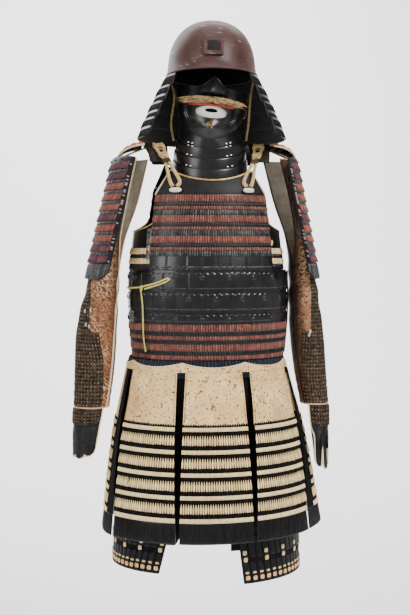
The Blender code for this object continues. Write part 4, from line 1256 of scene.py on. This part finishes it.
def makeShoulderGuards():
    span = guard["halfSpan"]
    for side, name in hands:
        surface = guardPoint(side)
        ends = (span, -span) if side > 0 else (-span, span)
        sign = 1 if ends[1] > ends[0] else -1

        def foot(a):
            # the front lower corner is rounded
            return 1.0 - 0.055 * smoothStep((a - span + 9) / 9) ** 1.6

        def plate(u, t):
            a = mix(*ends, u)
            high = 0.022 * abs(a / span) ** 4
            share = mix(foot(a), high, t)
            crown = 0.0018 * math.sin(math.pi * clamp(share / 0.055)) if share < 0.055 else 0.0
            return surface(a, share, crown)

        parts = [makeSurface("board", 60, 70, plate, "dullBlack", guard["wall"], round=0.0006)]
        inside = always(ends[0] + sign * guard["edgeStrip"], ends[1] - sign * guard["edgeStrip"])
        bands = bandsOf(guard["bandsFrom"], guard["bandsTo"], (0.60, 0.40) * 9 + (0.62, 0.0))
        for k, ((high, low), colour) in enumerate(zip(bands, guardBands)):
            addRow(
                parts, surface, inside, high - 0.002, low + 0.004, guard["pitch"], colour + "Lace",
                rise=(0.0008, 0.0040), swell=0.0016, uneven=0.05,
            )
            after = bands[k + 1][0] if k + 1 < len(bands) else guard["bandsTo"] + 0.006
            if after - low > 0.01:
                addRow(
                    parts, surface, inside, low - 0.006, after + 0.004, guard["pitch"], "greyScaleAndSheen",
                    rise=(0.0005, 0.0016), swell=0.0010, width=0.82, square=0.3,
                )
        # short slanted stitches run down both edges
        for start in (ends[0] + sign * 0.4, ends[1] - sign * (guard["edgeStrip"] - 0.2)):

            def stitch(u, t, w, lift):
                across = start + sign * (guard["edgeStrip"] - 0.6) * clamp(t)
                return surface(across, mix(0.060, guard["bandsTo"], u), 0.0012 + w * 0.0012)

            parts.append(makeStrands("stitches", 58, stitch, "checkLace", width=0.85, tilt=0.5, square=0.3))

        def rib(u, t, w, lift):
            a = mix(*ends, u)
            return surface(a, mix(foot(a) - 0.002, guard["bandsTo"] + 0.010, clamp(t)), 0.0006 + w * 0.0016)

        parts.append(makeStrands("ribs", 40, rib, "greyScaleAndSheen", width=0.96, uneven=0.0, square=0.5, rings=6))
        for a in (-14, -5, 5, 14):
            parts.append(makeBead("stud", surface(a, 0.030, 0.0024), (0.0022,) * 3, "greyScaleAndSheen", segments=8, rings=6))
        settle(joinPieces(f"shoulderGuard{name}", parts), "red_lacing", f"shoulder_guard_{name.lower()}")
        hang = [(0.1400, 0.012, 0.0054), (0.178, 0.014, -0.0096), (0.2130, 0.016, -0.0246)]
        line = smoothPath([mirrored(point, side) for point in hang], 20)
        cord = makeTube("cord", line, 0.0022, "tanCord", sides=3)
        loop = hoop(line[-1], Vector((0, 0, 0.006)), Vector((0, 0.006, 0)))
        ring = makeTube("loop", loop, 0.0014, "tanCord", sides=3, closed=True)
        settle(joinPieces(f"guardCord{name}", [cord, ring]), "tan_cord", f"guard_cord_{name.lower()}")


makeFinish("strapCloth", (0.010, 0.008, 0.007), (0.030, 0.022, 0.016), 0.75, grain=90, bump=0.6, bumpScale=500)
makeFinish("darkWrap", (0.020, 0.012, 0.006), (0.10, 0.062, 0.028), 0.75, grain=160, bump=0.6, bumpScale=500)
makeFinish("checkLace", (0.010, 0.008, 0.012), (0.030, 0.014, 0.026), 0.8, grain=160, bump=0.5, bumpScale=600)
recolour("checkLace", checkColour)
makeStraps()
makeWings()
makeStrapCords()
makeShoulderGuards()
print("shoulders done")


# the arms: brocade sleeves with mail on the outer side, lobed hand guards, and the tie at the right side

sleeve = {
    "cloth": 0.0018, "seam": 147.0, "slit": 0.8, "link": 0.0078, "row": 0.0042, "mailTop": -0.115, "mailBack": -100.0,
    "piping": 0.0017, "ring": 0.47, "wire": 0.15, "lean": 0.0006,
}
# where the brocade ends and the mail begins: height, degrees from the outer side towards the front
mailBorder = {
    1: [
        (-0.115, 30), (-0.250, 52), (-0.316, 66), (-0.4215, 86), (-0.4235, 118), (-0.444, 120), (-0.538, 143),
        (-0.592, 145),
    ],
    -1: [
        (-0.115, -10), (-0.270, 8), (-0.310, 28), (-0.350, 48), (-0.4215, 68), (-0.4235, 93), (-0.482, 110),
        (-0.592, 124),
    ],
}
handGuard = {
    1: {"tips": -0.700, "lowX": 0.2535, "lowY": -0.078, "round": 0.011, "cleft": 0.044},
    -1: {"tips": -0.668, "lowX": 0.268, "lowY": -0.056, "round": 0.004, "cleft": 0.003},
    "start": -62.0, "end": 128.0, "fingers": 4, "top": -0.5925, "wall": 0.002,
}
sideTie = {"radius": 0.0019, "over": 0.0050, "under": -0.0010}


def armShift(side, z):
    share = smoothStep((-0.14 - z) / 0.30)
    return armDrift[side][0] * share, armDrift[side][1] * share


def sleevePoint(side, z, degrees, out=0.0):
    inner, outer, front, back = ringAt(sleeveRings, z)[:4]
    shift = armShift(side, z)
    inner, outer = inner + shift[0], outer + shift[1]
    angle = math.radians(degrees)
    x = (inner + outer) / 2 + ((outer - inner) / 2 + out) * math.cos(angle)
    return Vector((side * x, (front + back) / 2 - ((back - front) / 2 + out) * math.sin(angle), z))


def sleeveEnds(z):
    opening = ringAt(sleeveRings, z)[4:]
    return max(opening[1], sleeve["seam"] + sleeve["slit"]) - 360, min(opening[0], sleeve["seam"] - sleeve["slit"])


def borderAt(side, z):
    table = mailBorder[side]
    z = clamp(z, table[-1][0], table[0][0])
    i = max(k for k in range(len(table) - 1) if table[k][0] >= z)
    return mix(table[i][1], table[i + 1][1], (table[i][0] - z) / (table[i][0] - table[i + 1][0]))


def foldAt(side, a, z):
    # soft folds that slant across the elbow, and a few long ones that run down the arm
    elbow = math.exp(-(((z + 0.330) / 0.070) ** 2))
    slant = math.sin(math.radians(a) * 1.5 + z * 95 + side) * 0.0016 * elbow
    long = math.sin(math.radians(a) * 5 + z * 9 + 2 * side) * 0.0007
    wrist = math.sin(z * 300 + math.radians(a) * 2) * 0.0005 * smoothStep((-0.50 - z) / 0.05)
    return slant + long + wrist - 0.0012


def makeRingRow(surface, edges, z, tall, shift):
    # one row of rings; each leans a little, so its right side lies over its neighbour
    start, end = edges(z)
    line = [surface(a, z, 0.0) for a in evenly(start, end, 16)]
    count = max(2, round(arcLength(line) / sleeve["link"]))
    deselectAll()
    bpy.ops.mesh.primitive_torus_add(
        major_segments=8, minor_segments=3, major_radius=sleeve["ring"], minor_radius=sleeve["wire"],
        rotation=(math.radians(90), 0, 0),
    )
    bpy.ops.object.transform_apply(rotation=True)
    piece = bpy.context.object
    own = repeatPiece(piece, count)
    shades = []
    for k in range(count):
        shades += [draw.random()] * own
        for vertex in piece.data.vertices[k * own : (k + 1) * own]:
            x, y, high = vertex.co
            across = (x + 0.5 + shift) / count
            out = 0.0013 - y * sleeve["link"] + sleeve["lean"] * (x - k)
            vertex.co = surface(mix(start, end, across), z + high * tall, out)
    return shadeStrands(piece, shades, "mailIron")


def mailRow(surface, edges, k, at, tall, glint):
    # every other row is offset, and the rows between them carry small brass-coloured beads that paint glints on the
    # mail
    parts = [makeRingRow(surface, edges, at, tall, 0.0 if k % 2 else -0.25)]
    if k % 2:
        addRow(
            parts, surface, edges, at + glint, at - glint, sleeve["link"], "paintedGlint",
            rise=(0.0012, 0.0012), swell=0.0011, width=0.36, square=0.2,
        )
    return parts


def makeMail(surface, edges, top, bottom):
    parts, z, k = [], top - sleeve["row"], 0
    while z > bottom + sleeve["row"] * 0.6:
        parts += mailRow(surface, edges, k, z, sleeve["row"] * 1.5, 0.0014)
        z -= sleeve["row"]
        k += 1
    return parts


def makeSleeves():
    top, bottom = sleeveRings[0][0], sleeveRings[-1][0]
    for side, name in hands:

        def place(u, t):
            z = mix(bottom, top, t)
            start, end = sleeveEnds(z)
            a = mix(start, end, 1 - u if side > 0 else u)
            return sleevePoint(side, z, a, foldAt(side, a, z))

        cloth = makeSurface(f"sleeveCloth{name}", 96, 130, place, "brocade", sleeve["cloth"], lining="liningCloth")

        def surface(a, z, out=0.0):
            return sleevePoint(side, z, a, foldAt(side, a, z) + out)

        def mailEdges(z):
            ends = (borderAt(side, z), sleeve["mailBack"])
            return ends if side > 0 else ends[::-1]

        def under(u, t):
            z = mix(bottom + 0.0006, sleeve["mailTop"], t)
            return surface(mix(*mailEdges(z), u), z, 0.0008)

        mail = [makeSurface("under", 60, 150, under, "mailCloth", 0.0007)]
        mail += makeMail(surface, mailEdges, sleeve["mailTop"], bottom)
        spots = ((52, -0.405), (64, -0.409), (40, -0.375), (60, -0.372)) if side < 0 else ((96, -0.432), (92, -0.424))
        for a, z in spots:
            ahead = surface(a + 2, z) - surface(a - 2, z)
            turn = math.atan2(ahead.y, ahead.x)
            size = (0.0030, 0.0008, 0.0044)
            mail.append(makeBead("plate", surface(a, z, 0.0026), size, "paleIron", (0, 0, turn), 12, 8, 0.35))
        mail = settle(joinPieces(f"sleeveMail{name}", mail), "sleeve_cloth")
        edges = []
        # painted shade: the left sleeve's piping is dark, the right one's pale
        for end, shift in ((0, 0.6), (1, -0.6)):
            line = [surface(sleeveEnds(z)[end] + shift, z, 0.0002) for z in evenly(top, bottom, 90)]
            edges.append(makeTube("piping", line, sleeve["piping"], "paleEdge" if side < 0 else "mailCloth", sides=3))
        for z, size in ((top, 0.0014), (bottom + 0.0008, 0.0020)):
            start, end = sleeveEnds(z)
            line = [surface(a, z, 0.0002) for a in evenly(start + 1.0, end - 1.0, 70)]
            edges.append(makeTube("hem", line, size, "tanEdge", sides=3))
        edges = settle(joinPieces(f"sleevePiping{name}", edges), "tan_cord")
        settle(cloth, "sleeve_cloth", f"sleeve_{name.lower()}")


def handPoint(side, share, a, out=0.0):
    shape = handGuard[side]
    turn = (a - handGuard["start"]) / (handGuard["end"] - handGuard["start"])
    # each finger is a lobe with a rounded tip; cleft is the depth of the narrow gaps between them
    away = abs(2 * ((turn * handGuard["fingers"]) % 1) - 1)
    low = shape["tips"] - 0.016 * math.cos(math.radians(a - 45))
    tip = shape["round"] * (1 - math.sqrt(max(1 - away * away, 0))) + shape["cleft"] * away**10
    finger = smoothStep((share - 0.40) / 0.60) * (tip - 0.016)
    z = mix(handGuard["top"], low, share) + finger
    shrink = 0.010 * share**1.5
    shift = armShift(side, z)
    middleX = mix(0.2565, shape["lowX"], share) + (shift[0] + shift[1]) / 2
    middleY = mix(-0.031, shape["lowY"], share)
    halfX = 0.0385 + (shift[1] - shift[0]) / 2 - shrink + out
    halfY = 0.0430 - shrink * 0.4 + out
    angle = math.radians(a)
    return Vector((side * (middleX + halfX * math.cos(angle)), middleY - halfY * math.sin(angle), z))


def makeHandGuards():
    start, end = handGuard["start"], handGuard["end"]
    for side, name in hands:

        def place(u, t):
            a = mix(start, end, 1 - u if side > 0 else u)
            turn = (a - start) / (end - start) * handGuard["fingers"]
            share = 1 - t
            ridge = 0.0014 * math.cos((turn % 1 - 0.5) * math.pi) * smoothStep((share - 0.45) / 0.2)
            joints = sum(0.0008 * math.exp(-(((share - at) / 0.012) ** 2)) for at in (0.46, 0.74))
            return handPoint(side, share, a, ridge - joints - 0.0004)

        parts = [makeSurface("guard", 132, 60, place, "dullBlack", handGuard["wall"], lining="indigoCloth")]
        rim = [handPoint(side, s, start, -0.0008) for s in evenly(0.02, 0.97, 20)]
        rim += [handPoint(side, 1.0, a, -0.0008) for a in evenly(start, end, 160)]
        rim += [handPoint(side, s, end, -0.0008) for s in evenly(0.97, 0.02, 20)]
        parts.append(makeTube("rim", rim, 0.0017, "paleEdge", sides=3))

        def surface(a, share, out=0.0):
            return handPoint(side, share, a, out)

        def mailEdges(share):
            return (end - 8, start + 6) if side > 0 else (start + 6, end - 8)

        # shares of the guard's height run downwards, so a row's height is negative
        for k, share in enumerate(evenly(0.05, 0.36, 9)):
            parts += mailRow(surface, mailEdges, k, share, -0.045, -0.011)
        # a finger loop of cord hangs inside
        loop = [
            handPoint(side, 0.86 - 0.10 * math.sin(math.pi * k / 20), mix(10, 60, k / 20), -0.0050)
            for k in range(21)
        ]
        parts.append(makeTube("fingerLoop", loop, 0.0012, "tanCord", sides=3))
        settle(joinPieces(f"handGuard{name}", parts), "black_lacquer", f"hand_guard_{name.lower()}")


def makeSideTie():
    over, under = sideTie["over"], sideTie["under"]
    bowRoute = [
        (-84, -0.3225, under), (-72, -0.3215, under), (-60, -0.3195, under), (-52.5, -0.3165, 0.0042),
        (-46, -0.3125, over), (-39, -0.3070, over), (-33, -0.2990, over), (-30.5, -0.3000, over), (-33, -0.3055, over),
        (-39, -0.3125, over), (-46, -0.3185, over), (-51.5, -0.3225, 0.0046),
    ]
    tailRoute = [
        (-58.0, -0.3240, under), (-56.0, -0.350, under), (-55.5, -0.390, under), (-56.0, -0.430, under + 0.0004),
        (-55.0, -0.462, under + 0.0004),
    ]
    for name, route, count, node, end in (
        ("sideTieBow", bowRoute, 28, "side_tie_bow", "object"), ("sideTieTail", tailRoute, 20, "side_tie_tail", "knot"),
    ):
        path = smoothPath([cuirassPoint(*point) for point in route], count)
        piece = makeTube(name, path, sideTie["radius"], "yellowCord", sides=4)
        settle(piece, "yellow_cord", node)
        if end == "knot":
            knot = makeBead("sideTieEnd", path[-1], (0.0026, 0.0024, 0.0030), "yellowCord", segments=12, rings=8)
            settle(knot, "yellow_cord")
        else:
            turns = []
            for a, z in ((-56.5, -0.3205), (-55.2, -0.3215)):
                middle = cuirassPoint(a, z, 0.0016)
                ring = hoop(middle, Vector((0, -0.0042, 0)), Vector((0.0012, 0, 0.0046)))
                turns.append(makeTube("turn", ring, 0.0016, "yellowCord", sides=3, closed=True))
            settle(joinPieces("sideTieKnot", turns), "yellow_cord")
        print(name, "length", round(arcLength(path), 4))
        tuple(path[0])
        [tuple(p) for p in path]


makeFinish("liningCloth", (0.60, 0.53, 0.43), (0.82, 0.76, 0.66), 0.9, grain=60, bump=0.5, bumpScale=500)
makeFinish("indigoCloth", (0.008, 0.024, 0.046), (0.020, 0.056, 0.090), 0.85, grain=80, bump=0.6, bumpScale=500)
makeFinish("paleIron", (0.34, 0.30, 0.26), (0.62, 0.56, 0.48), 0.45, grain=160, metallic=0.3, bump=0.3)
# brass-coloured beads that paint glints of light on the mail
makeFinish(
    "paintedGlint", (0.20, 0.12, 0.06), (0.52, 0.37, 0.22), 0.45, grain=130, metallic=0.25, bump=0.3, shade=0.75,
)
makeSleeves()
makeHandGuards()
makeSideTie()
print("arms done")


# the waist and legs: a laced strip, the wavy leather band, seven skirt panels and two thigh guards

skirt = {
    "wall": 0.0018, "lacingTop": -0.4813, "lacingBottom": -0.520, "lacingOut": -0.0028, "leatherTop": -0.497,
    "slit": -0.507, "boardTop": -0.618, "rowsTop": -0.6235, "ribsTop": -0.827, "bottom": -0.872, "strand": 0.0054,
    "bare": 8.0,
}
skirtPattern = (0.19, 0.19, 0.42, 0.20) * 4 + (0.21, 0.0)
thigh = {"top": -0.503, "wall": 0.0018, "plate": 0.0148, "plates": 0.164}
thighParts = {
    1: {"inner": 18.0, "bottom": -0.976, "flap": (10.0, -0.903)},
    -1: {"inner": 34.0, "bottom": -0.952, "flap": (15.0, -0.889)},
}


def leatherTop(degrees):
    # the leather's upper edge peaks above each gap between the panels
    turn = abs((degrees + 180) % 360 - 180)
    edges = (-skirtGaps[0][0], *(gap[0] for gap in skirtGaps))
    k = max(i for i in range(4) if turn >= edges[i])
    share = 2 * (turn - edges[k]) / (edges[k + 1] - edges[k]) - 1
    return skirt["leatherTop"] + 0.010 * share * share


def waistPoint(a, z, out=0.0):
    return ringPoint(skirtRings, a, z, out)


def creaseAt(a, z):
    across = math.sin(math.radians(a) * 9 + z * 60) * 0.0004
    drape = math.sin(math.radians(a) * 31 + z * 14) * 0.0003
    return across + drape - 0.0004


def makeWaist():
    def strip(u, t):
        return waistPoint(mix(-180, 180, u), mix(skirt["lacingBottom"], skirt["lacingTop"], t), skirt["lacingOut"])

    parts = [makeSurface("strip", 160, 6, strip, "navyCloth", 0.0016, weld=True)]
    addRow(
        parts, waistPoint, always(-180, 180), skirt["lacingTop"] - 0.0006, -0.5110, 0.0072, "blueLace",
        rise=(skirt["lacingOut"], skirt["lacingOut"]), swell=0.0008, width=0.80, uneven=0.05,
    )
    settle(joinPieces("waistLacing", parts), "blue_lacing", "waist_lacing")

    def leather(u, t):
        a = mix(-180, 180, u)
        z = mix(skirt["slit"] + 0.0003, leatherTop(a), t)
        return waistPoint(a, z, creaseAt(a, z) * (1 - t) + 0.0004 * t)

    parts = [makeSurface("band", 240, 8, leather, "creamLeather", skirt["wall"], weld=True)]
    edge = [waistPoint(a, leatherTop(a) + 0.0004, -0.0004) for a in evenly(-180, 180, 241)[:-1]]
    parts.append(makeTube("edge", edge, 0.0015, "paleEdge", sides=3, closed=True))
    settle(joinPieces("waistLeather", parts), "cream_leather", "waist_leather")


def stitchLine(at, top, bottom):
    # a line of small upright stitches down a panel's edge; at(z) gives its angle
    def place(u, t, w, lift):
        z = mix(top, bottom, u)
        return skirtPoint(at(z) + math.degrees((clamp(t) - 0.5) * 0.0018 / 0.19), z, 0.0004 + w * 0.0005)

    count = round((top - bottom) / 0.0052)
    return makeStrands("stitches", count, place, "blackSilk", width=0.62, square=0.3, segments=5, rings=4)


def makePanel(name, node, start, end, sign, bare=0.0):
    # the width in degrees of the plain black board beside the panel's front edge, a painted shade for the gap between
    # the panels
    def side(gap, share, inward):
        return mix(gap[0], gap[1], share) + inward * mix(gap[2], gap[3], share)

    def edges(z):
        share = (skirt["slit"] - z) / (skirt["slit"] - skirt["bottom"])
        last = side(end, share, -1)
        first = side(start, share, 1) if start else -last
        return (first, last) if sign > 0 else (-last, -first)

    def dressed(z):
        first, last = edges(z)
        return (first + bare, last) if sign > 0 else (first, last - bare)

    top, wall = skirt["boardTop"], skirt["wall"]

    def leather(u, t):
        z = mix(top - 0.003, skirt["slit"], t)
        a = mix(*dressed(z), u)
        fold = 0.0006 * math.sin(math.radians(a) * 14 + z * 40) * math.sin(math.pi * clamp(t))
        return skirtPoint(a, z, creaseAt(a, z) + fold + 0.0003)

    parts = [makeSurface("leather", 60, 30, leather, "creamLeather", wall, round=0.0003)]
    for edge, shift in ((0, 0.9), (1, -0.9)):
        parts.append(stitchLine(lambda z: dressed(z)[edge] + shift, skirt["slit"] - 0.004, top + 0.004))
    parts.append(board("board", skirtPoint, edges, top - 0.0025, skirt["ribsTop"], "blackCloth", 50, 30, wall))
    if bare:

        def strip(z):
            first, last = edges(z)
            return (first, first + bare - 0.2) if sign > 0 else (last - bare + 0.2, last)

        parts.append(board("strip", skirtPoint, strip, skirt["slit"], top - 0.003, "blackCloth", 8, 20, wall))
    bands = bandsOf(skirt["rowsTop"], skirt["ribsTop"], skirtPattern)

    def row(high, low, pitch, finish, **shape):
        addRow(parts, skirtPoint, dressed, high, low, pitch, finish, **shape)

    pitch = skirt["strand"]
    row(
        top + 0.0008, skirt["rowsTop"] + 0.0004, pitch, "blackSilk",
        rise=(0.0008, 0.0014), swell=0.0009, width=0.86, square=0.2, uneven=0.08,
    )
    for k, (high, low) in enumerate(bands):
        if k % 2:
            row(
                high + 0.0014, low - 0.0004, pitch, "creamLace",
                rise=(0.0004, 0.0026), swell=0.0011, width=0.90, point=0.75, uneven=0.05,
            )
        else:
            row(
                high, low, pitch / 2, "plainCream",
                rise=(0.0012, 0.0022), swell=0.0012, width=1.05, square=0.55, uneven=0.01,
            )
        if k + 1 < len(bands):
            row(
                low, bands[k + 1][0] + 0.0006, pitch, "blackSilk",
                rise=(0.0004, 0.0008), swell=0.0008, width=0.84, square=0.2, uneven=0.08,
            )

    def foot(u, t):
        z = mix(skirt["bottom"], skirt["ribsTop"] - 0.0006, t)
        return skirtPoint(mix(*edges(z), u), z, mix(0.0006, -0.0006, t))

    parts.append(makeSurface("foot", 40, 6, foot, "blackLacquer", 0.0020, round=0.0005))
    addRow(
        parts, skirtPoint, edges, skirt["ribsTop"] - 0.0010, skirt["bottom"] + 0.0004, 0.0056, "ribBlack",
        rise=(-0.0002, 0.0010), swell=0.0013, width=0.97, square=0.6, uneven=0.0,
    )
    settle(joinPieces(name, parts), "cream_lacing", node)


def makeSkirt():
    front, side, rear, centre = skirtGaps
    makePanel("skirtPanelFront", "skirt_panel_front", None, front, 1)
    for sign, hand in hands:
        for place, start, end, bare in (
            ("Front", front, side, 0.0), ("Side", side, rear, skirt["bare"]), ("Back", rear, centre, 0.0),
        ):
            makePanel(f"skirtPanel{place}{hand}", f"skirt_panel_{place.lower()}_{hand.lower()}", start, end, sign, bare)


def makeThighGuards():
    for side, name in hands:
        shape = thighParts[side]
        top, bottom = thigh["top"], shape["bottom"]

        def surface(a, z, out=0.0):
            return ringPoint(thighRings, a, z, out)

        def edges(z):
            share = (top - z) / (top - bottom)
            ends = (mix(2.0, shape["inner"], share), mix(80.0, 97.0, share))
            return ends if side > 0 else (-ends[1], -ends[0])

        def fold(a, z):
            wave = math.sin(math.radians(a) * 12 + z * 16 + side)
            return 0.0010 * wave * smoothStep((z - bottom - 0.15) / 0.05) - 0.0008

        def apron(u, t):
            z = mix(bottom, top, t)
            a = mix(*edges(z), u)
            return surface(a, z, fold(a, z))

        cloth = makeSurface(f"thighGuard{name}", 80, 110, apron, "apronCloth", thigh["wall"], lining="indigoCloth")
        extras = []
        # the inner flap is plain cloth and ends higher
        inner, flapBottom = shape["flap"]

        def flap(u, t):
            across = u if side > 0 else 1 - u
            low = mix(-0.868, flapBottom, smoothStep((across - 0.35) / 0.25)) if side < 0 else flapBottom
            z = mix(low, -0.62, t)
            share = (top - z) / (top - bottom)
            last = mix(2.0, shape["inner"], share) + 0.8
            first = min(mix(3.0, inner, smoothStep(share / 0.7)), last - 1.5)
            return surface(side * mix(first, last, across), z, -0.0030)

        extras.append(makeSurface("flap", 16, 40, flap, "apronCloth", 0.0014, round=0.0003))
        # lacquered plates on the lower part, with cream and orange squares of lacing
        rows = bandsOf(bottom + thigh["plates"], bottom, (0.30, 0.06, 0.30, 0.06, 0.28, 0.0))
        for high, low in rows:
            addRow(
                extras, surface, edges, high, low + 0.0004, thigh["plate"], "plateBlack",
                rise=(-0.0006, 0.0014), swell=0.0010, width=0.99, square=0.8, uneven=0.0, segments=8, rings=6,
            )

        def spots(z, size, finish, every=1):
            length = arcLength([surface(a, z) for a in evenly(*edges(z), 20)])
            count = round(length / thigh["plate"])
            for k in range(0, count, every):
                a = mix(*edges(z), (k + 0.5) / count)
                ahead = surface(a + 1, z) - surface(a - 1, z)
                turn = math.atan2(ahead.y, ahead.x)
                place = surface(a, z + draw.uniform(-0.0006, 0.0006), 0.0020)
                extras.append(makeBead("square", place, size, finish, (0, 0, turn), 10, 6, 0.45))

        spots(bottom + 0.0115, (0.0052, 0.0011, 0.0048), "orangeCream")
        spots(bottom + 0.0235, (0.0044, 0.0010, 0.0024), "creamLace")
        for height in (0.052, 0.068, 0.112, 0.128):
            spots(bottom + height, (0.0048, 0.0011, 0.0052), "creamLace", every=3)
        hem = [surface(a, bottom + 0.0006, 0.0006) for a in evenly(*edges(bottom), 60)]
        extras.append(makeTube("hem", hem, 0.0013, "blackSilk", sides=3))
        for end in (0, 1):
            line = [surface(edges(z)[end], z, fold(edges(z)[end], z) * 0.5) for z in evenly(top, bottom, 60)]
            extras.append(makeTube("edge", line, 0.0011, "blackSilk", sides=2))
        extras = settle(joinPieces(f"thighPlates{name}", extras), "black_lacquer")
        settle(cloth, "black_lacquer", f"thigh_guard_{name.lower()}")


makeFinish(
    "navyCloth", (0.002, 0.004, 0.009), (0.006, 0.011, 0.020), 0.85, grain=80, bump=0.6, bumpScale=500, specular=0.15,
)
makeFinish("plainCream", (0.94, 0.67, 0.32), (1.0, 0.84, 0.48), 0.8, grain=70, shade=0.10, **fibre)
makeFinish(
    "apronCloth", (0.003, 0.0025, 0.003), (0.010, 0.008, 0.007), 0.85, grain=60, bump=0.6, bumpScale=500,
    specular=0.12,
)
makeFinish("ribBlack", (0.003, 0.0025, 0.0025), (0.011, 0.009, 0.009), 0.5, grain=90, bump=0.3, shade=0.4, specular=0.2)
makeFinish("plateBlack", (0.002, 0.002, 0.003), (0.008, 0.008, 0.010), 0.5, grain=60, specular=0.2, bump=0.3, shade=0.3)
makeFinish("orangeCream", (0.72, 0.32, 0.11), (0.88, 0.62, 0.34), 0.8, grain=150, bump=0.6, bumpScale=500)
makeWaist()
makeSkirt()
makeThighGuards()
print("waist and legs done")


# the studio: a pale swept backdrop, soft lights, and the camera where the photographer stood

studio = {
    "distance": 2.4, "azimuth": 7.0, "height": -0.235, "floor": -1.42, "backdrop": (0.86, 0.86, 0.865), "air": 0.42,
}
# the camera in the photo's pixels: its focal length, the picture's height, the eye's level and its place aside
view = {"focal": 1021, "tall": 615, "level": 250, "aside": 1.5}


def makeStudio():
    profile = [(-8.0, 0.0), (-3.0, 0.0), (1.8, 0.0), (3.6, 0.22), (4.9, 0.9), (5.8, 2.1), (6.3, 3.8), (6.5, 8.0)]
    line = smoothPath([(0, y, studio["floor"] + z) for y, z in profile], 120)

    def place(u, t):
        point = alongLine(line, t)[0]
        return Vector((mix(-9, 9, u), point.y, point.z))

    backdrop = makeSurface("studioSweep", 12, 160, place, "paleCloth")
    plain = bpy.data.materials.new("studioPaper")
    plain.use_nodes = True
    plain.node_tree.nodes["Principled BSDF"].inputs["Base Color"].default_value = (*studio["backdrop"], 1.0)
    plain.node_tree.nodes["Principled BSDF"].inputs["Roughness"].default_value = 0.9
    backdrop.data.materials.clear()
    backdrop.data.materials.append(plain)


def addLight(name, place, target, size, power):
    lamp = bpy.data.lights.new(name, "AREA")
    lamp.shape = "RECTANGLE"
    lamp.size, lamp.size_y = size
    lamp.energy = power
    holder = bpy.data.objects.new(name, lamp)
    bpy.context.scene.collection.objects.link(holder)
    holder.location = place
    holder.rotation_euler = (Vector(target) - Vector(place)).to_track_quat("-Z", "Y").to_euler()
    return holder


def lightStudio():
    world = bpy.data.worlds.new("studioAir")
    world.use_nodes = True
    world.node_tree.nodes["Background"].inputs["Color"].default_value = (1.0, 1.0, 1.0, 1.0)
    world.node_tree.nodes["Background"].inputs["Strength"].default_value = studio["air"]
    bpy.context.scene.world = world
    addLight("keyLight", (1.5, -2.1, 1.5), (0, 0, -0.25), (0.9, 1.2), 100)
    addLight("fillLight", (-1.9, -1.6, 0.6), (0, 0, -0.3), (1.0, 1.8), 34)
    addLight("topLight", (0.0, -0.3, 2.3), (0, 0, 0), (1.6, 1.2), 26)
    addLight("rimLight", (-1.3, 1.5, 0.9), (0, 0, -0.2), (0.8, 1.6), 22)
    addLight("paperLight", (0.0, 2.6, 3.4), (0.0, 5.6, -0.6), (6.0, 1.2), 700)


def placeCamera():
    seen = bpy.data.cameras.new("camera")
    seen.sensor_width = 36
    seen.lens = view["focal"] / view["tall"] * seen.sensor_width
    seen.shift_y = -(view["tall"] / 2 - view["level"]) / view["tall"]
    holder = bpy.data.objects.new("camera", seen)
    bpy.context.scene.collection.objects.link(holder)
    turn = math.radians(studio["azimuth"])
    holder.location = (
        -math.sin(turn) * studio["distance"], -math.cos(turn) * studio["distance"], studio["height"]
    )
    holder.rotation_euler = (math.radians(90), 0.0, -turn + math.atan(view["aside"] / view["focal"]))
    bpy.context.scene.camera = holder


makeStudio()
lightStudio()
placeCamera()
print("studio ready")
